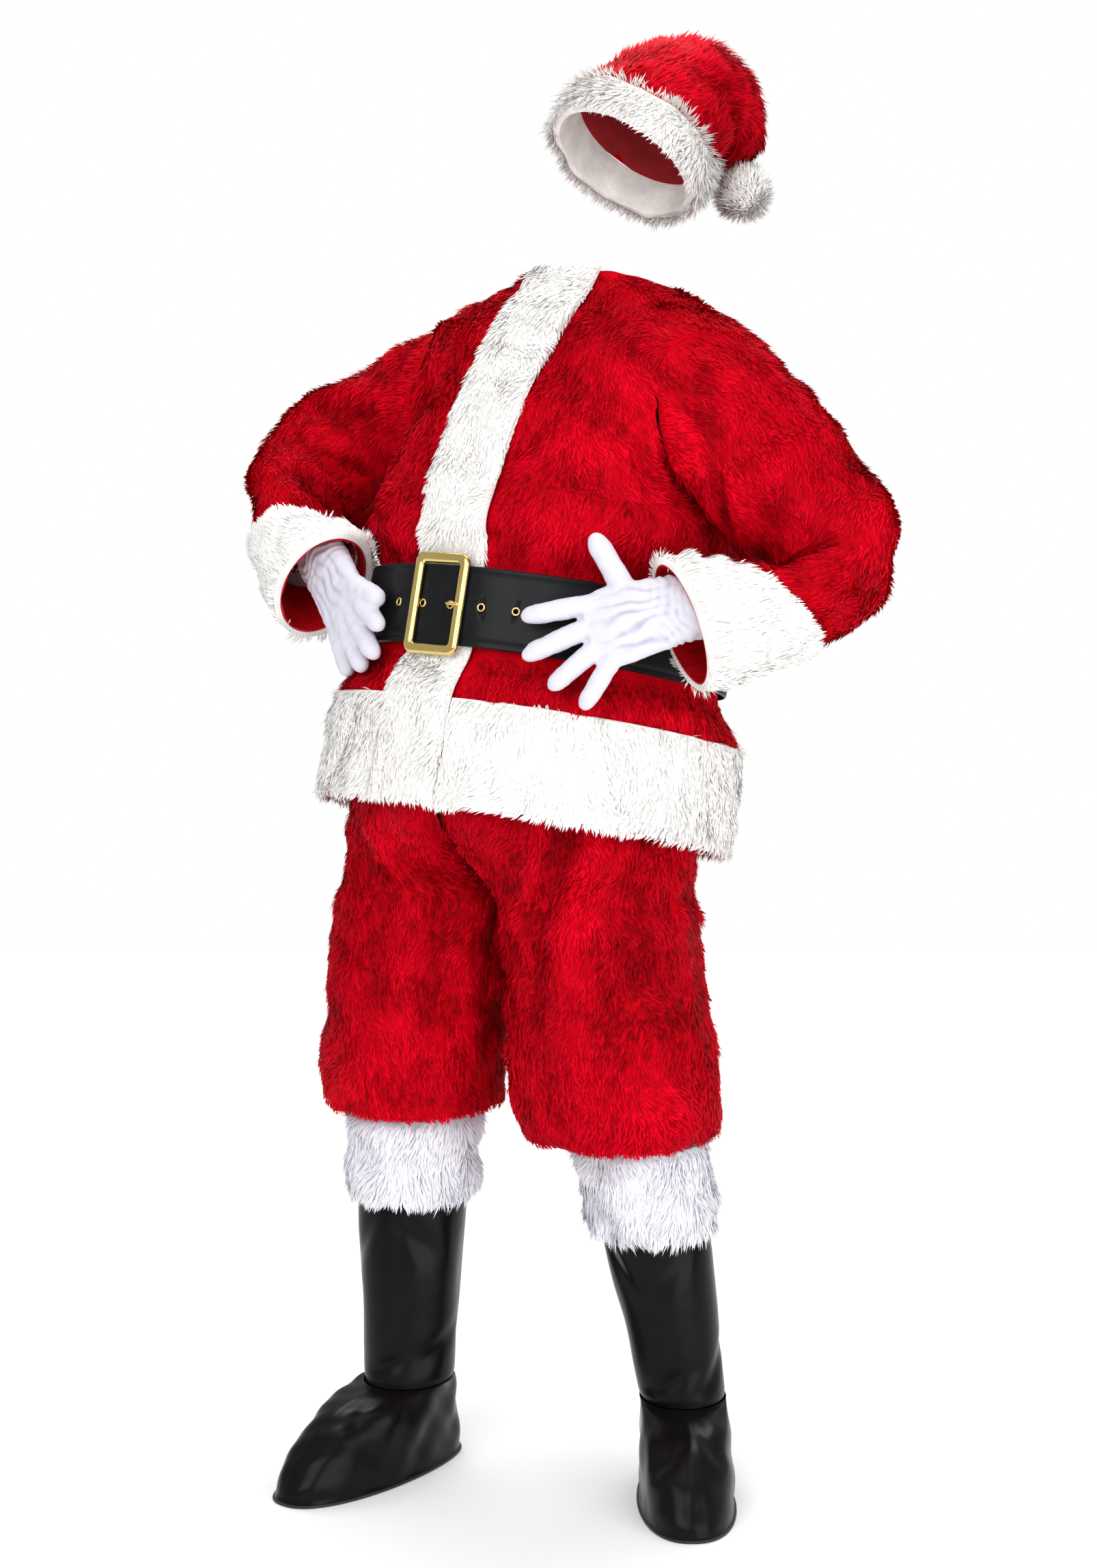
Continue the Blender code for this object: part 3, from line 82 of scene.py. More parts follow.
# --- Arrays of points ----------------------------------------------------------------------------
def through(table: Sequence, at: Array) -> Array:
    """Values of a table's columns on smooth curves through its rows.

    Each column is a cubic between two rows, with the slope at a row taken from its neighbours.

    Args:
        table: Rows of numbers.
        at: Row positions.

    Returns:
        An array with the columns last.
    """
    rows = np.array(table, dtype=float)
    at = np.clip(np.asarray(at, dtype=float), 0, len(rows) - 1)
    slopes = np.gradient(rows, axis=0)
    low = np.minimum(at.astype(int), len(rows) - 2)
    t = (at - low)[..., None]
    start = (1 + 2 * t) * (1 - t) ** 2 * rows[low] + t * (1 - t) ** 2 * slopes[low]
    end = t * t * (3 - 2 * t) * rows[low + 1] + t * t * (t - 1) * slopes[low + 1]
    return start + end


def columns_of(table: Sequence, at: Array) -> Array:
    """The columns of `through`, each as its own array."""
    return np.moveaxis(through(table, at), -1, 0)


def unit(vectors: Array) -> Array:
    """Vectors scaled to length 1."""
    vectors = np.asarray(vectors, dtype=float)
    return vectors / np.maximum(np.linalg.norm(vectors, axis=-1, keepdims=True), 1e-12)


def dot(a: Array, b: Array) -> Array:
    """Sums of products along the last axis, which is kept."""
    return np.sum(a * b, axis=-1, keepdims=True)


def swung(start: Sequence, end: Sequence, share: Array) -> Array:
    """A direction that swings evenly from one to another as `share` goes from 0 to 1."""
    start, end = unit(start), unit(end)
    whole = math.acos(float(np.clip(start @ end, -1, 1)))
    square = unit(end - start * (start @ end))
    angle = whole * np.asarray(share, dtype=float)[..., None]
    return start * np.cos(angle) + square * np.sin(angle)


def ease(share: Array) -> Array:
    """A smooth step from 0 to 1."""
    share = np.clip(share, 0, 1)
    return share * share * (3 - 2 * share)


def full_turn(count: int) -> Array:
    """Angles evenly spaced all round."""
    return np.linspace(0, 2 * math.pi, count, endpoint=False)


def bell(offset: Array, width: float) -> Array:
    """A bell curve that is 1 at no offset: exp of minus the square of offset over width."""
    return np.exp(-(offset / width) ** 2)


def rounded(across: Array, power: float) -> Array:
    """A section's rise, 1 in its middle and 0 at -1 and 1: the root of 1 less |across| to a power."""
    return np.sqrt(np.clip(1 - np.abs(across) ** power, 0, 1))


def seam_dip(count: int, depth: float, width: float) -> Array:
    """How far each of a panel's columns is drawn in: `depth` at both side seams, over `width` columns."""
    column = np.arange(count)
    return depth * bell(np.minimum(column, column[::-1]), width)


def between(start: Array, end: Array, count: int) -> Array:
    """Rows of evenly spaced values that go from each start to its end."""
    share = np.linspace(0, 1, count)
    return start[:, None] * (1 - share) + end[:, None] * share


def line_length(points: Array) -> float:
    """The length of the line through points."""
    return float(np.linalg.norm(np.diff(points, axis=0), axis=1).sum())


def grid_normals(grid: Array, looped: bool) -> Array:
    """Unit normals of a grid of points: the cross product of its steps along columns and rows.

    Args:
        grid: Rows and columns of points.
        looped: Whether the last column joins the first.

    Returns:
        One normal for each point.
    """
    if looped:
        across = np.roll(grid, -1, 1) - np.roll(grid, 1, 1)
    else:
        across = np.gradient(grid, axis=1)
    return unit(np.cross(across, np.gradient(grid, axis=0)))


def points_inward(grid: Array) -> bool:
    """Whether the normals of a grid that goes all round point to the middles of its rings."""
    return float((grid_normals(grid, True) * (grid - grid.mean(1, keepdims=True))).sum()) < 0


SOFTENING_ROUNDS = 26


def hollows(grid: Array, outward: Array, looped: bool) -> Array:
    """How far each point of a grid lies inside its neighbourhood's soft average.

    Each round of the average takes half of every point and a quarter of each neighbour, along the
    rows and then along the columns.

    Args:
        grid: Rows and columns of points.
        outward: Their unit normals.
        looped: Whether the last column joins the first.

    Returns:
        Depths in metres, less their median.
    """
    soft = grid
    for _ in range(SOFTENING_ROUNDS):
        tall = np.concatenate([soft[:1], soft, soft[-1:]])
        soft = (tall[:-2] + 2 * soft + tall[2:]) / 4
        before = soft[:, -1:] if looped else soft[:, :1]
        after = soft[:, :1] if looped else soft[:, -1:]
        wide = np.concatenate([before, soft, after], axis=1)
        soft = (wide[:, :-2] + 2 * soft + wide[:, 2:]) / 4
    depth = dot(soft - grid, outward)[..., 0]
    return depth - np.median(depth)


class Ripple:
    """A soft random field: the mean of sine waves in random directions.

    Args:
        wavelength: Usual distance between crests, in metres.
        seed: Seed of the directions and phases.
        waves: Number of waves.
        tall: How many times longer the waves are along Z.
    """

    def __init__(self, wavelength: float, seed: int, waves: int = 14, tall: float = 1.0) -> None:
        source = np.random.default_rng(seed)
        pitch = 2 * math.pi / (wavelength * source.uniform(0.6, 1.7, (waves, 1)))
        self.vectors = unit(source.normal(size=(waves, 3))) * pitch / np.array([1.0, 1.0, tall])
        self.phases = source.uniform(0, 2 * math.pi, waves)
        self.scale = math.sqrt(2 / waves)

    def at(self, points: Array) -> Array:
        """The field's value, mostly within 1 of zero."""
        return np.sin(points @ self.vectors.T + self.phases).sum(-1) * self.scale

    def uphill(self, points: Array) -> Array:
        """The direction in which the field grows, with a length of about 1 where it is steepest."""
        slope = np.cos(points @ self.vectors.T + self.phases) @ self.vectors
        return slope * self.scale / np.linalg.norm(self.vectors, axis=1).mean()


class Fold(NamedTuple):
    """A soft trough (negative) or ridge: where, how long and wide, how steep and how deep.

    `around` and `long` are in degrees around the piece, `up` and `high` in rows of its table.
    """

    around: float
    up: float
    long: float
    high: float
    slant: float
    depth: float


def fold_height(folds: Sequence[Fold], degrees: Array, row: Array) -> Array:
    """Sum of the folds at places on a piece: each is a bell curve along and across its line."""
    height = np.zeros(np.broadcast(degrees, row).shape)
    for fold in folds:
        around = (degrees - fold.around + 180) % 360 - 180
        up = row - fold.up - fold.slant * around
        height += fold.depth * np.exp(-(around / fold.long) ** 2 - (up / fold.high) ** 2)
    return height


@dataclass(frozen=True)
class Stance:
    """How the suit stands: turned from the front, with the jacket leaning back on the hips."""

    turn: float = math.radians(38)
    lean: float = math.radians(14)
    waist: Triple = (0.008, 0.0, 1.016)
    hips: tuple[float, float] = (-0.030, -0.038)
    neck_height: float = 0.438

    def turned(self, points: Array) -> Array:
        """Points given across to the left, behind and up, turned about the upright axis."""
        across, behind, up = np.moveaxis(np.asarray(points, dtype=float), -1, 0)
        x = across * math.cos(self.turn) + behind * math.sin(self.turn)
        y = -across * math.sin(self.turn) + behind * math.cos(self.turn)
        return np.stack([x, y, up], -1)

    def turned_back(self, points: Array) -> Array:
        """The reverse of `turned`."""
        x, y, up = np.moveaxis(np.asarray(points, dtype=float), -1, 0)
        across = x * math.cos(self.turn) - y * math.sin(self.turn)
        behind = x * math.sin(self.turn) + y * math.cos(self.turn)
        return np.stack([across, behind, up], -1)

    def leaning(self, points: Array) -> Array:
        """Points of the jacket's own upright frame, leaned back, turned and set on the waist."""
        across, behind, up = np.moveaxis(np.asarray(points, dtype=float), -1, 0)
        tipped_behind = behind * math.cos(self.lean) + up * math.sin(self.lean)
        tipped_up = up * math.cos(self.lean) - behind * math.sin(self.lean)
        return self.turned(np.stack([across, tipped_behind, tipped_up], -1)) + self.waist

    @property
    def neck(self) -> Array:
        """The centre of the neck opening in the standing frame."""
        return self.leaning(np.array([0.0, 0.0, self.neck_height]))


STANCE = Stance()


# --- Meshes --------------------------------------------------------------------------------------
def placed(name: str, data: bpy.types.ID) -> Thing:
    """A new object of the scene, which holds a mesh, a light or a camera."""
    made = bpy.data.objects.new(name, data)
    bpy.context.scene.collection.objects.link(made)
    return made


def add_mesh(name: str, points: Array, faces: Sequence, finishes: Sequence["Finish"],
             slots: Optional[Array] = None, sharp: float = 55.0) -> Thing:
    """A smooth mesh object with its place in its mesh.

    Args:
        name: The object's name.
        points: Points in the standing frame.
        faces: Lists of point numbers.
        finishes: One finish for each material slot.
        slots: The material slot of each face.
        sharp: Angle in degrees past which an edge stays sharp.

    Returns:
        The object, which rides on the suit.
    """
    mesh = bpy.data.meshes.new(name)
    mesh.from_pydata((points.reshape(-1, 3) - STANCE.neck).tolist(), [], [list(face) for face in faces])
    for finish in finishes:
        mesh.materials.append(finish.material())
    if slots is not None:
        mesh.polygons.foreach_set("material_index", np.asarray(slots, dtype=np.int32))
    mesh.shade_smooth()
    mesh.set_sharp_from_angle(angle=math.radians(sharp))
    made = placed(name, mesh)
    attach(made, "root")
    return made


def quads(rows: int, cols: int, looped: bool) -> Array:
    """Point numbers of a grid's faces, each going along the columns first."""
    number = np.arange(rows * cols).reshape(rows, cols)
    after = np.roll(number, -1, 1) if looped else number[:, 1:]
    here = number if looped else number[:, :-1]
    return np.stack([here[:-1], after[:-1], after[1:], here[1:]], -1).reshape(-1, 4)


def wall(name: str, outer: Array, inner: Array, looped: bool, finishes: Sequence["Finish"],
         flipped: bool = False, capped: bool = False) -> Thing:
    """A closed wall between two grids of the same size.

    Args:
        name: The object's name.
        outer: The grid that faces out.
        inner: The grid that faces in.
        looped: Whether the last column joins the first.
        finishes: The outer face's finish, and the inner face's if it differs.
        flipped: Whether the grid's own normals point in.
        capped: Whether the last rings are closed by fans of faces.

    Returns:
        The object.
    """
    rows, cols = outer.shape[:2]
    skin = rows * cols
    face = quads(rows, cols, looped)
    number = np.arange(skin).reshape(rows, cols)
    start, end = number[0], number[-1]
    after = (lambda line: np.roll(line, -1)) if looped else (lambda line: line[1:])
    here = (lambda line: line) if looped else (lambda line: line[:-1])
    parts = [face, face[:, ::-1] + skin,
             np.stack([here(start), here(start) + skin, after(start) + skin, after(start)], -1)]
    kinds = [0, 1, 0]
    if not capped:
        parts.append(np.stack([after(end), after(end) + skin, here(end) + skin, here(end)], -1))
        kinds.append(0)
    if not looped:
        first, last = number[:, 0], number[:, -1]
        parts.append(np.stack([first[:-1], first[1:], first[1:] + skin, first[:-1] + skin], -1))
        parts.append(np.stack([last[:-1] + skin, last[1:] + skin, last[1:], last[:-1]], -1))
        kinds += [0, 0]
    points = [outer.reshape(-1, 3), inner.reshape(-1, 3)]
    faces = [line for part in parts for line in part.tolist()]
    slots = np.concatenate([np.full(len(part), kind) for part, kind in zip(parts, kinds)])
    if capped:
        points += [outer[-1].mean(0)[None], inner[-1].mean(0)[None]]
        fan = [[a, b, 2 * skin] for a, b in zip(here(end).tolist(), after(end).tolist())]
        inside = [[b + skin, a + skin, 2 * skin + 1] for a, b in zip(here(end).tolist(), after(end).tolist())]
        faces += fan + inside
        slots = np.concatenate([slots, np.zeros(len(fan)), np.ones(len(inside))])
    if flipped:
        faces = [line[::-1] for line in faces]
    if len(finishes) == 1:
        slots = np.zeros(len(faces))
    return add_mesh(name, np.concatenate(points), faces, finishes, slots)


def tube(name: str, rings: Array, finishes: Sequence["Finish"], sharp: float = 55.0) -> Thing:
    """A solid through rings of points, with flat ends; the grid's normals point out."""
    rows, cols = rings.shape[:2]
    faces = quads(rows, cols, True).tolist()
    faces += [list(range(cols))[::-1], list(range((rows - 1) * cols, rows * cols))]
    return add_mesh(name, rings, faces, finishes, sharp=sharp)


def set_values(mesh: bpy.types.Mesh, name: str, values: Array) -> None:
    """Gives a mesh an attribute with a number for each of its points."""
    made = mesh.attributes.new(name, "FLOAT", "POINT")
    made.data.foreach_set("value", values.ravel().astype(np.float32))


def apply_modifiers(piece: Thing) -> None:
    """Replaces a piece's mesh by the one that its modifiers make."""
    graph = bpy.context.evaluated_depsgraph_get()
    made = bpy.data.meshes.new_from_object(piece.evaluated_get(graph))
    piece.modifiers.clear()
    piece.data = made


def face_out(piece: Thing) -> None:
    """Turns a closed piece's faces outwards."""
    body = bmesh.new()
    body.from_mesh(piece.data)
    bmesh.ops.recalc_face_normals(body, faces=body.faces)
    body.to_mesh(piece.data)
    body.free()


def circle(centre: Array, axis: Array, radius: float, count: int) -> Array:
    """Points of a circle, counter-clockwise about its axis."""
    axis = unit(axis)
    side = unit(np.cross(axis, [0.0, 0.0, 1.0] if abs(axis[2]) < 0.9 else [1.0, 0.0, 0.0]))
    turn = full_turn(count)[:, None]
    return centre + radius * (np.cos(turn) * side + np.sin(turn) * np.cross(axis, side))


def face_areas(grid: Array, face: Array) -> Array:
    """Areas of a grid's faces: half the length of the cross product of their diagonals."""
    corner = grid.reshape(-1, 3)[face]
    return np.linalg.norm(np.cross(corner[:, 2] - corner[:, 0], corner[:, 3] - corner[:, 1]), axis=1) / 2


def patch_area(grid: Array, looped: bool) -> float:
    """The area of a grid in square metres."""
    return float(face_areas(grid, quads(*grid.shape[:2], looped)).sum())


def stand_for(made: Thing, node: str) -> None:
    """Hides the CAD node that a piece stands for."""
    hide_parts(node)


# --- Finishes ------------------------------------------------------------------------------------
class Nodes:
    """A short way to add nodes to a material."""

    def __init__(self, material: bpy.types.Material) -> None:
        self.tree = material.node_tree
        self.shader = self.tree.nodes["Principled BSDF"]
        self.place = self.add("TexCoord").outputs["Object"]

    def add(self, kind: str, settings: Optional[dict] = None, **inputs: object) -> bpy.types.Node:
        """A node whose kind is given without its prefix; an input that is a socket is linked."""
        node = self.tree.nodes.new("ShaderNode" + kind)
        for key, value in (settings or {}).items():
            setattr(node, key, value)
        for key, value in inputs.items():
            socket = node.inputs[key.replace("_", " ")]
            if isinstance(value, bpy.types.NodeSocket):
                self.tree.links.new(value, socket)
            else:
                socket.default_value = value
        return node

    def link(self, output: bpy.types.NodeSocket, name: str) -> None:
        """Links an output to one of the shader's inputs."""
        self.tree.links.new(output, self.shader.inputs[name])

    def noise(self, scale: float, detail: float = 3.0, place: Optional[object] = None) -> object:
        """A noise texture's factor."""
        return self.add("TexNoise", Vector=place or self.place, Scale=scale,
                        Detail=detail).outputs["Fac"]

    def stretched(self, scale: Sequence[float]) -> object:
        """Object coordinates scaled along X, Y and Z."""
        return self.add("Mapping", Vector=self.place, Scale=tuple(scale)).outputs["Vector"]

    def ramp(self, factor: object, stops: Sequence[tuple[float, Sequence[float]]]) -> object:
        """A colour ramp's colour; each stop is a position and a linear colour."""
        node = self.add("ValToRGB", Fac=factor)
        for number, (position, colour) in enumerate(stops):
            elements = node.color_ramp.elements
            element = elements[number] if number < 2 else elements.new(position)
            element.position = position
            element.color = (*colour, 1.0)
        return node.outputs["Color"]

    def mix(self, share: object, first: object, second: object, blend: str = "MIX") -> object:
        """A mix of two colours."""
        node = self.tree.nodes.new("ShaderNodeMix")
        node.data_type, node.blend_type = "RGBA", blend
        for socket, value in zip((node.inputs[0], node.inputs[6], node.inputs[7]), (share, first, second)):
            if isinstance(value, bpy.types.NodeSocket):
                self.tree.links.new(value, socket)
            else:
                socket.default_value = value if isinstance(value, float) else (*value, 1.0)
        return node.outputs[2]

    def bump(self, height: object, distance: float, strength: float = 1.0,
             under: Optional[object] = None) -> object:
        """A bump node's normal, over another bump if one is given."""
        inputs = {"Height": height, "Distance": distance, "Strength": strength}
        if under is not None:
            inputs["Normal"] = under
        return self.add("Bump", **inputs).outputs["Normal"]


@dataclass(frozen=True)
class Finish:
    """A surface finish: its slot in the record, linear colour, roughness and shader settings."""

    name: str
    slot: str
    colour: Triple
    roughness: float
    settings: tuple[tuple[str, float], ...] = ()

    def material(self) -> bpy.types.Material:
        """The finish's material, made the first time it is asked for."""
        found = bpy.data.materials.get(self.name)
        if found:
            return found
        made = bpy.data.materials.new(self.name)
        made.use_nodes = True
        nodes = Nodes(made)
        nodes.shader.inputs["Base Color"].default_value = (*self.colour, 1.0)
        nodes.shader.inputs["Roughness"].default_value = self.roughness
        for key, value in self.settings:
            nodes.shader.inputs[key].default_value = value
        self.dress(nodes)
        return made

    def dress(self, nodes: Nodes) -> None:
        """Adds the finish's own pattern."""

    def shade(self, share: float) -> Triple:
        """The colour, darker or lighter by a share."""
        return tuple(min(value * share, 1.0) for value in self.colour)

    def gloss(self, nodes: Nodes, marks: object, low: tuple[float, float], high: tuple[float, float]) -> None:
        """Links a roughness that follows marks; each stop is a position and the roughness there."""
        nodes.link(nodes.ramp(marks, [(place, (rough,) * 3) for place, rough in (low, high)]), "Roughness")


@dataclass(frozen=True)
class PileFinish(Finish):
    """Strands of pile: darker at the root as painted shade and lighter at the tip as painted light, with soft
    random darker patches.
    """

    # a strand's colours at its root, painted shade deep in the pile, and at its tip, painted light
    root: Triple = (0.1, 0.1, 0.1)
    tip: Triple = (1.0, 1.0, 1.0)
    patch: float = 0.35

    def dress(self, nodes: Nodes) -> None:
        """Colour from the strand's tone, times soft patches."""
        tone = nodes.add("Attribute", {"attribute_name": "tone"}).outputs["Fac"]
        # painted shade at a strand's root and painted light at its tip
        strand = nodes.ramp(tone, [(0.0, self.root), (1.0, self.tip), (0.45, self.colour)])
        # soft random darker patches
        darker_patches = nodes.ramp(nodes.noise(9.0, 4.0), [(0.35, (1 - self.patch,) * 3), (0.62, (1.0,) * 3)])
        nodes.link(nodes.mix(1.0, strand, darker_patches, "MULTIPLY"), "Base Color")
        self.gloss(nodes, nodes.noise(40.0), (0.3, self.roughness - 0.1), (0.7, self.roughness + 0.1))


@dataclass(frozen=True)
class BackingFinish(Finish):
    """The knitted backing under the pile: fine ribs with a faint mottle."""

    rib: float = 150.0

    def dress(self, nodes: Nodes) -> None:
        """Colour from noise, bump from ribs that run up the piece."""
        mottle = nodes.ramp(nodes.noise(30.0), [(0.3, self.shade(0.75)), (0.7, self.shade(1.1))])
        nodes.link(mottle, "Base Color")
        ribs = nodes.add("TexWave", {"wave_type": "BANDS", "bands_direction": "DIAGONAL"},
                         Vector=nodes.place, Scale=self.rib, Distortion=1.5).outputs["Fac"]
        nodes.link(nodes.bump(ribs, 0.0006, 0.6), "Normal")


@dataclass(frozen=True)
class SatinFinish(Finish):
    """Woven satin: fine threads and soft brushed variation."""

    def dress(self, nodes: Nodes) -> None:
        """Colour and bump from noise stretched along the threads."""
        threads = nodes.noise(60.0, 4.0, nodes.stretched((1.0, 1.0, 12.0)))
        nodes.link(nodes.ramp(threads, [(0.3, self.shade(0.7)), (0.7, self.shade(1.15))]), "Base Color")
        creases = nodes.bump(nodes.noise(45.0, 2.0), 0.003, 0.5)
        nodes.link(nodes.bump(threads, 0.0003, 0.4, creases), "Normal")


@dataclass(frozen=True)
class VinylFinish(Finish):
    """Glossy coated cloth: faint grain, smears in its gloss, and soft ripples."""

    grain: float = 700.0
    ripple: float = 0.0018          # height of its soft ripples

    def dress(self, nodes: Nodes) -> None:
        """Roughness from broad smears, bump from fine cells over soft ripples."""
        smears = nodes.noise(14.0, 5.0)
        self.gloss(nodes, smears, (0.3, self.roughness * 0.75), (0.75, self.roughness * 1.35))
        worn = nodes.ramp(nodes.noise(55.0, 6.0), [(0.35, self.colour), (0.8, self.shade(1.5))])
        nodes.link(worn, "Base Color")
        cells = nodes.add("TexVoronoi", Vector=nodes.place, Scale=self.grain).outputs["Distance"]
        soft = nodes.bump(nodes.noise(22.0, 2.0), self.ripple, 0.5)
        nodes.link(nodes.bump(cells, 0.00012, 0.35, soft), "Normal")


@dataclass(frozen=True)
class BrassFinish(Finish):
    """Plated and polished metal with faint handling marks."""

    def dress(self, nodes: Nodes) -> None:
        """Roughness from fine scratches and colour that warms in the marks."""
        marks = nodes.noise(160.0, 6.0, nodes.stretched((1.0, 1.0, 0.25)))
        self.gloss(nodes, marks, (0.4, self.roughness * 0.7), (0.75, self.roughness * 2.2))
        warmth = nodes.ramp(nodes.noise(35.0), [(0.3, self.colour), (0.75, self.shade(0.86))])
        nodes.link(warmth, "Base Color")


@dataclass(frozen=True)
class KnitFinish(Finish):
    """Smooth stretch knit: very fine rows of stitches."""

    stitches: float = 260.0

    def dress(self, nodes: Nodes) -> None:
        """Bump from two crossed sets of fine waves, and colour with painted shade that darkens it in its
        creases.
        """
        wave = {"wave_type": "BANDS", "bands_direction": "Z"}
        stitch = {"Vector": nodes.place, "Scale": self.stitches, "Distortion": 0.6}
        rows = nodes.add("TexWave", wave, **stitch)
        lines = nodes.add("TexWave", {**wave, "bands_direction": "X"}, **stitch)
        weave = nodes.add("Math", {"operation": "MULTIPLY"})
        nodes.tree.links.new(rows.outputs["Fac"], weave.inputs[0])
        nodes.tree.links.new(lines.outputs["Fac"], weave.inputs[1])
        crease = nodes.add("Attribute", {"attribute_name": "crease"}).outputs["Fac"]
        pulled = nodes.ramp(nodes.noise(26.0, 4.0), [(0.3, self.shade(0.93)), (0.7, self.colour)])
        # painted shade: the knit is darker where its creases sink
        sunk = nodes.ramp(crease, [(0.15, (1.0, 1.0, 1.0)), (0.95, (0.70, 0.68, 0.76))])
        nodes.link(nodes.mix(1.0, pulled, sunk, "MULTIPLY"), "Base Color")
        nodes.link(nodes.bump(weave.outputs[0], 0.00025, 0.5), "Normal")


@dataclass(frozen=True)
class SoleFinish(Finish):
    """Matte moulded sole with a pebbled grain and scuffs."""

    def dress(self, nodes: Nodes) -> None:
        """Bump from cells, colour lighter where it is scuffed."""
        scuffs = nodes.ramp(nodes.noise(38.0, 6.0), [(0.45, self.colour), (0.8, self.shade(3.0))])
        nodes.link(scuffs, "Base Color")
        cells = nodes.add("TexVoronoi", Vector=nodes.place, Scale=450.0).outputs["Distance"]
        nodes.link(nodes.bump(cells, 0.0004, 0.7), "Normal")


SOFT = (("Sheen Weight", 0.10), ("Sheen Roughness", 0.4), ("Specular IOR Level", 0.10))
# Pile finishes: each root colour is painted shade deep in the pile, each tip colour painted light.
RED_STRANDS = PileFinish("red_strands", "red_plush", (0.56, 0.0004, 0.009), 0.6,
                         (("Specular IOR Level", 0.03),),
                         root=(0.24, 0.0002, 0.003), tip=(0.84, 0.0010, 0.017), patch=0.30)
RED_GROUND = BackingFinish("red_ground", "red_plush", (0.52, 0.0004, 0.006), 0.85,
                           (("Specular IOR Level", 0.03),))
RED_BACKING = BackingFinish("red_backing", "red_plush", (0.36, 0.008, 0.014), 0.85)
WHITE_STRANDS = PileFinish("white_strands", "white_plush", (0.95, 0.935, 0.91), 0.55, SOFT,
                           root=(0.90, 0.87, 0.83), tip=(0.97, 0.965, 0.96), patch=0.02)
COOL_STRANDS = PileFinish("cool_white_strands", "white_plush", (0.88, 0.87, 0.93), 0.55, SOFT,
                          root=(0.74, 0.73, 0.82), tip=(0.95, 0.945, 0.97), patch=0.05)
WHITE_GROUND = BackingFinish("white_ground", "white_plush", (0.90, 0.88, 0.85), 0.9, SOFT)
COOL_GROUND = BackingFinish("cool_white_ground", "white_plush", (0.84, 0.83, 0.89), 0.9, SOFT)
RED_SATIN = SatinFinish("lining_satin", "red_satin", (0.56, 0.004, 0.010), 0.34,
                        (("Specular IOR Level", 0.35),))
BLACK_VINYL = VinylFinish("boot_vinyl", "black_vinyl", (0.0040, 0.0033, 0.0040), 0.28,
                          (("Specular IOR Level", 0.10),))
STRAP_VINYL = VinylFinish("strap_vinyl", "black_vinyl", (0.0060, 0.0064, 0.0075), 0.36,
                          (("Specular IOR Level", 0.12),), grain=900.0, ripple=0.0006)
BLACK_SOLE = SoleFinish("bound_sole", "black_sole", (0.008, 0.008, 0.008), 0.6)
GOLD = BrassFinish("gold_plate", "gold_metal", (0.83, 0.62, 0.22), 0.11, (("Metallic", 1.0),))
WHITE_KNIT = KnitFinish("glove_knit", "white_knit", (0.66, 0.65, 0.73), 0.7, (("Specular IOR Level", 0.2),))


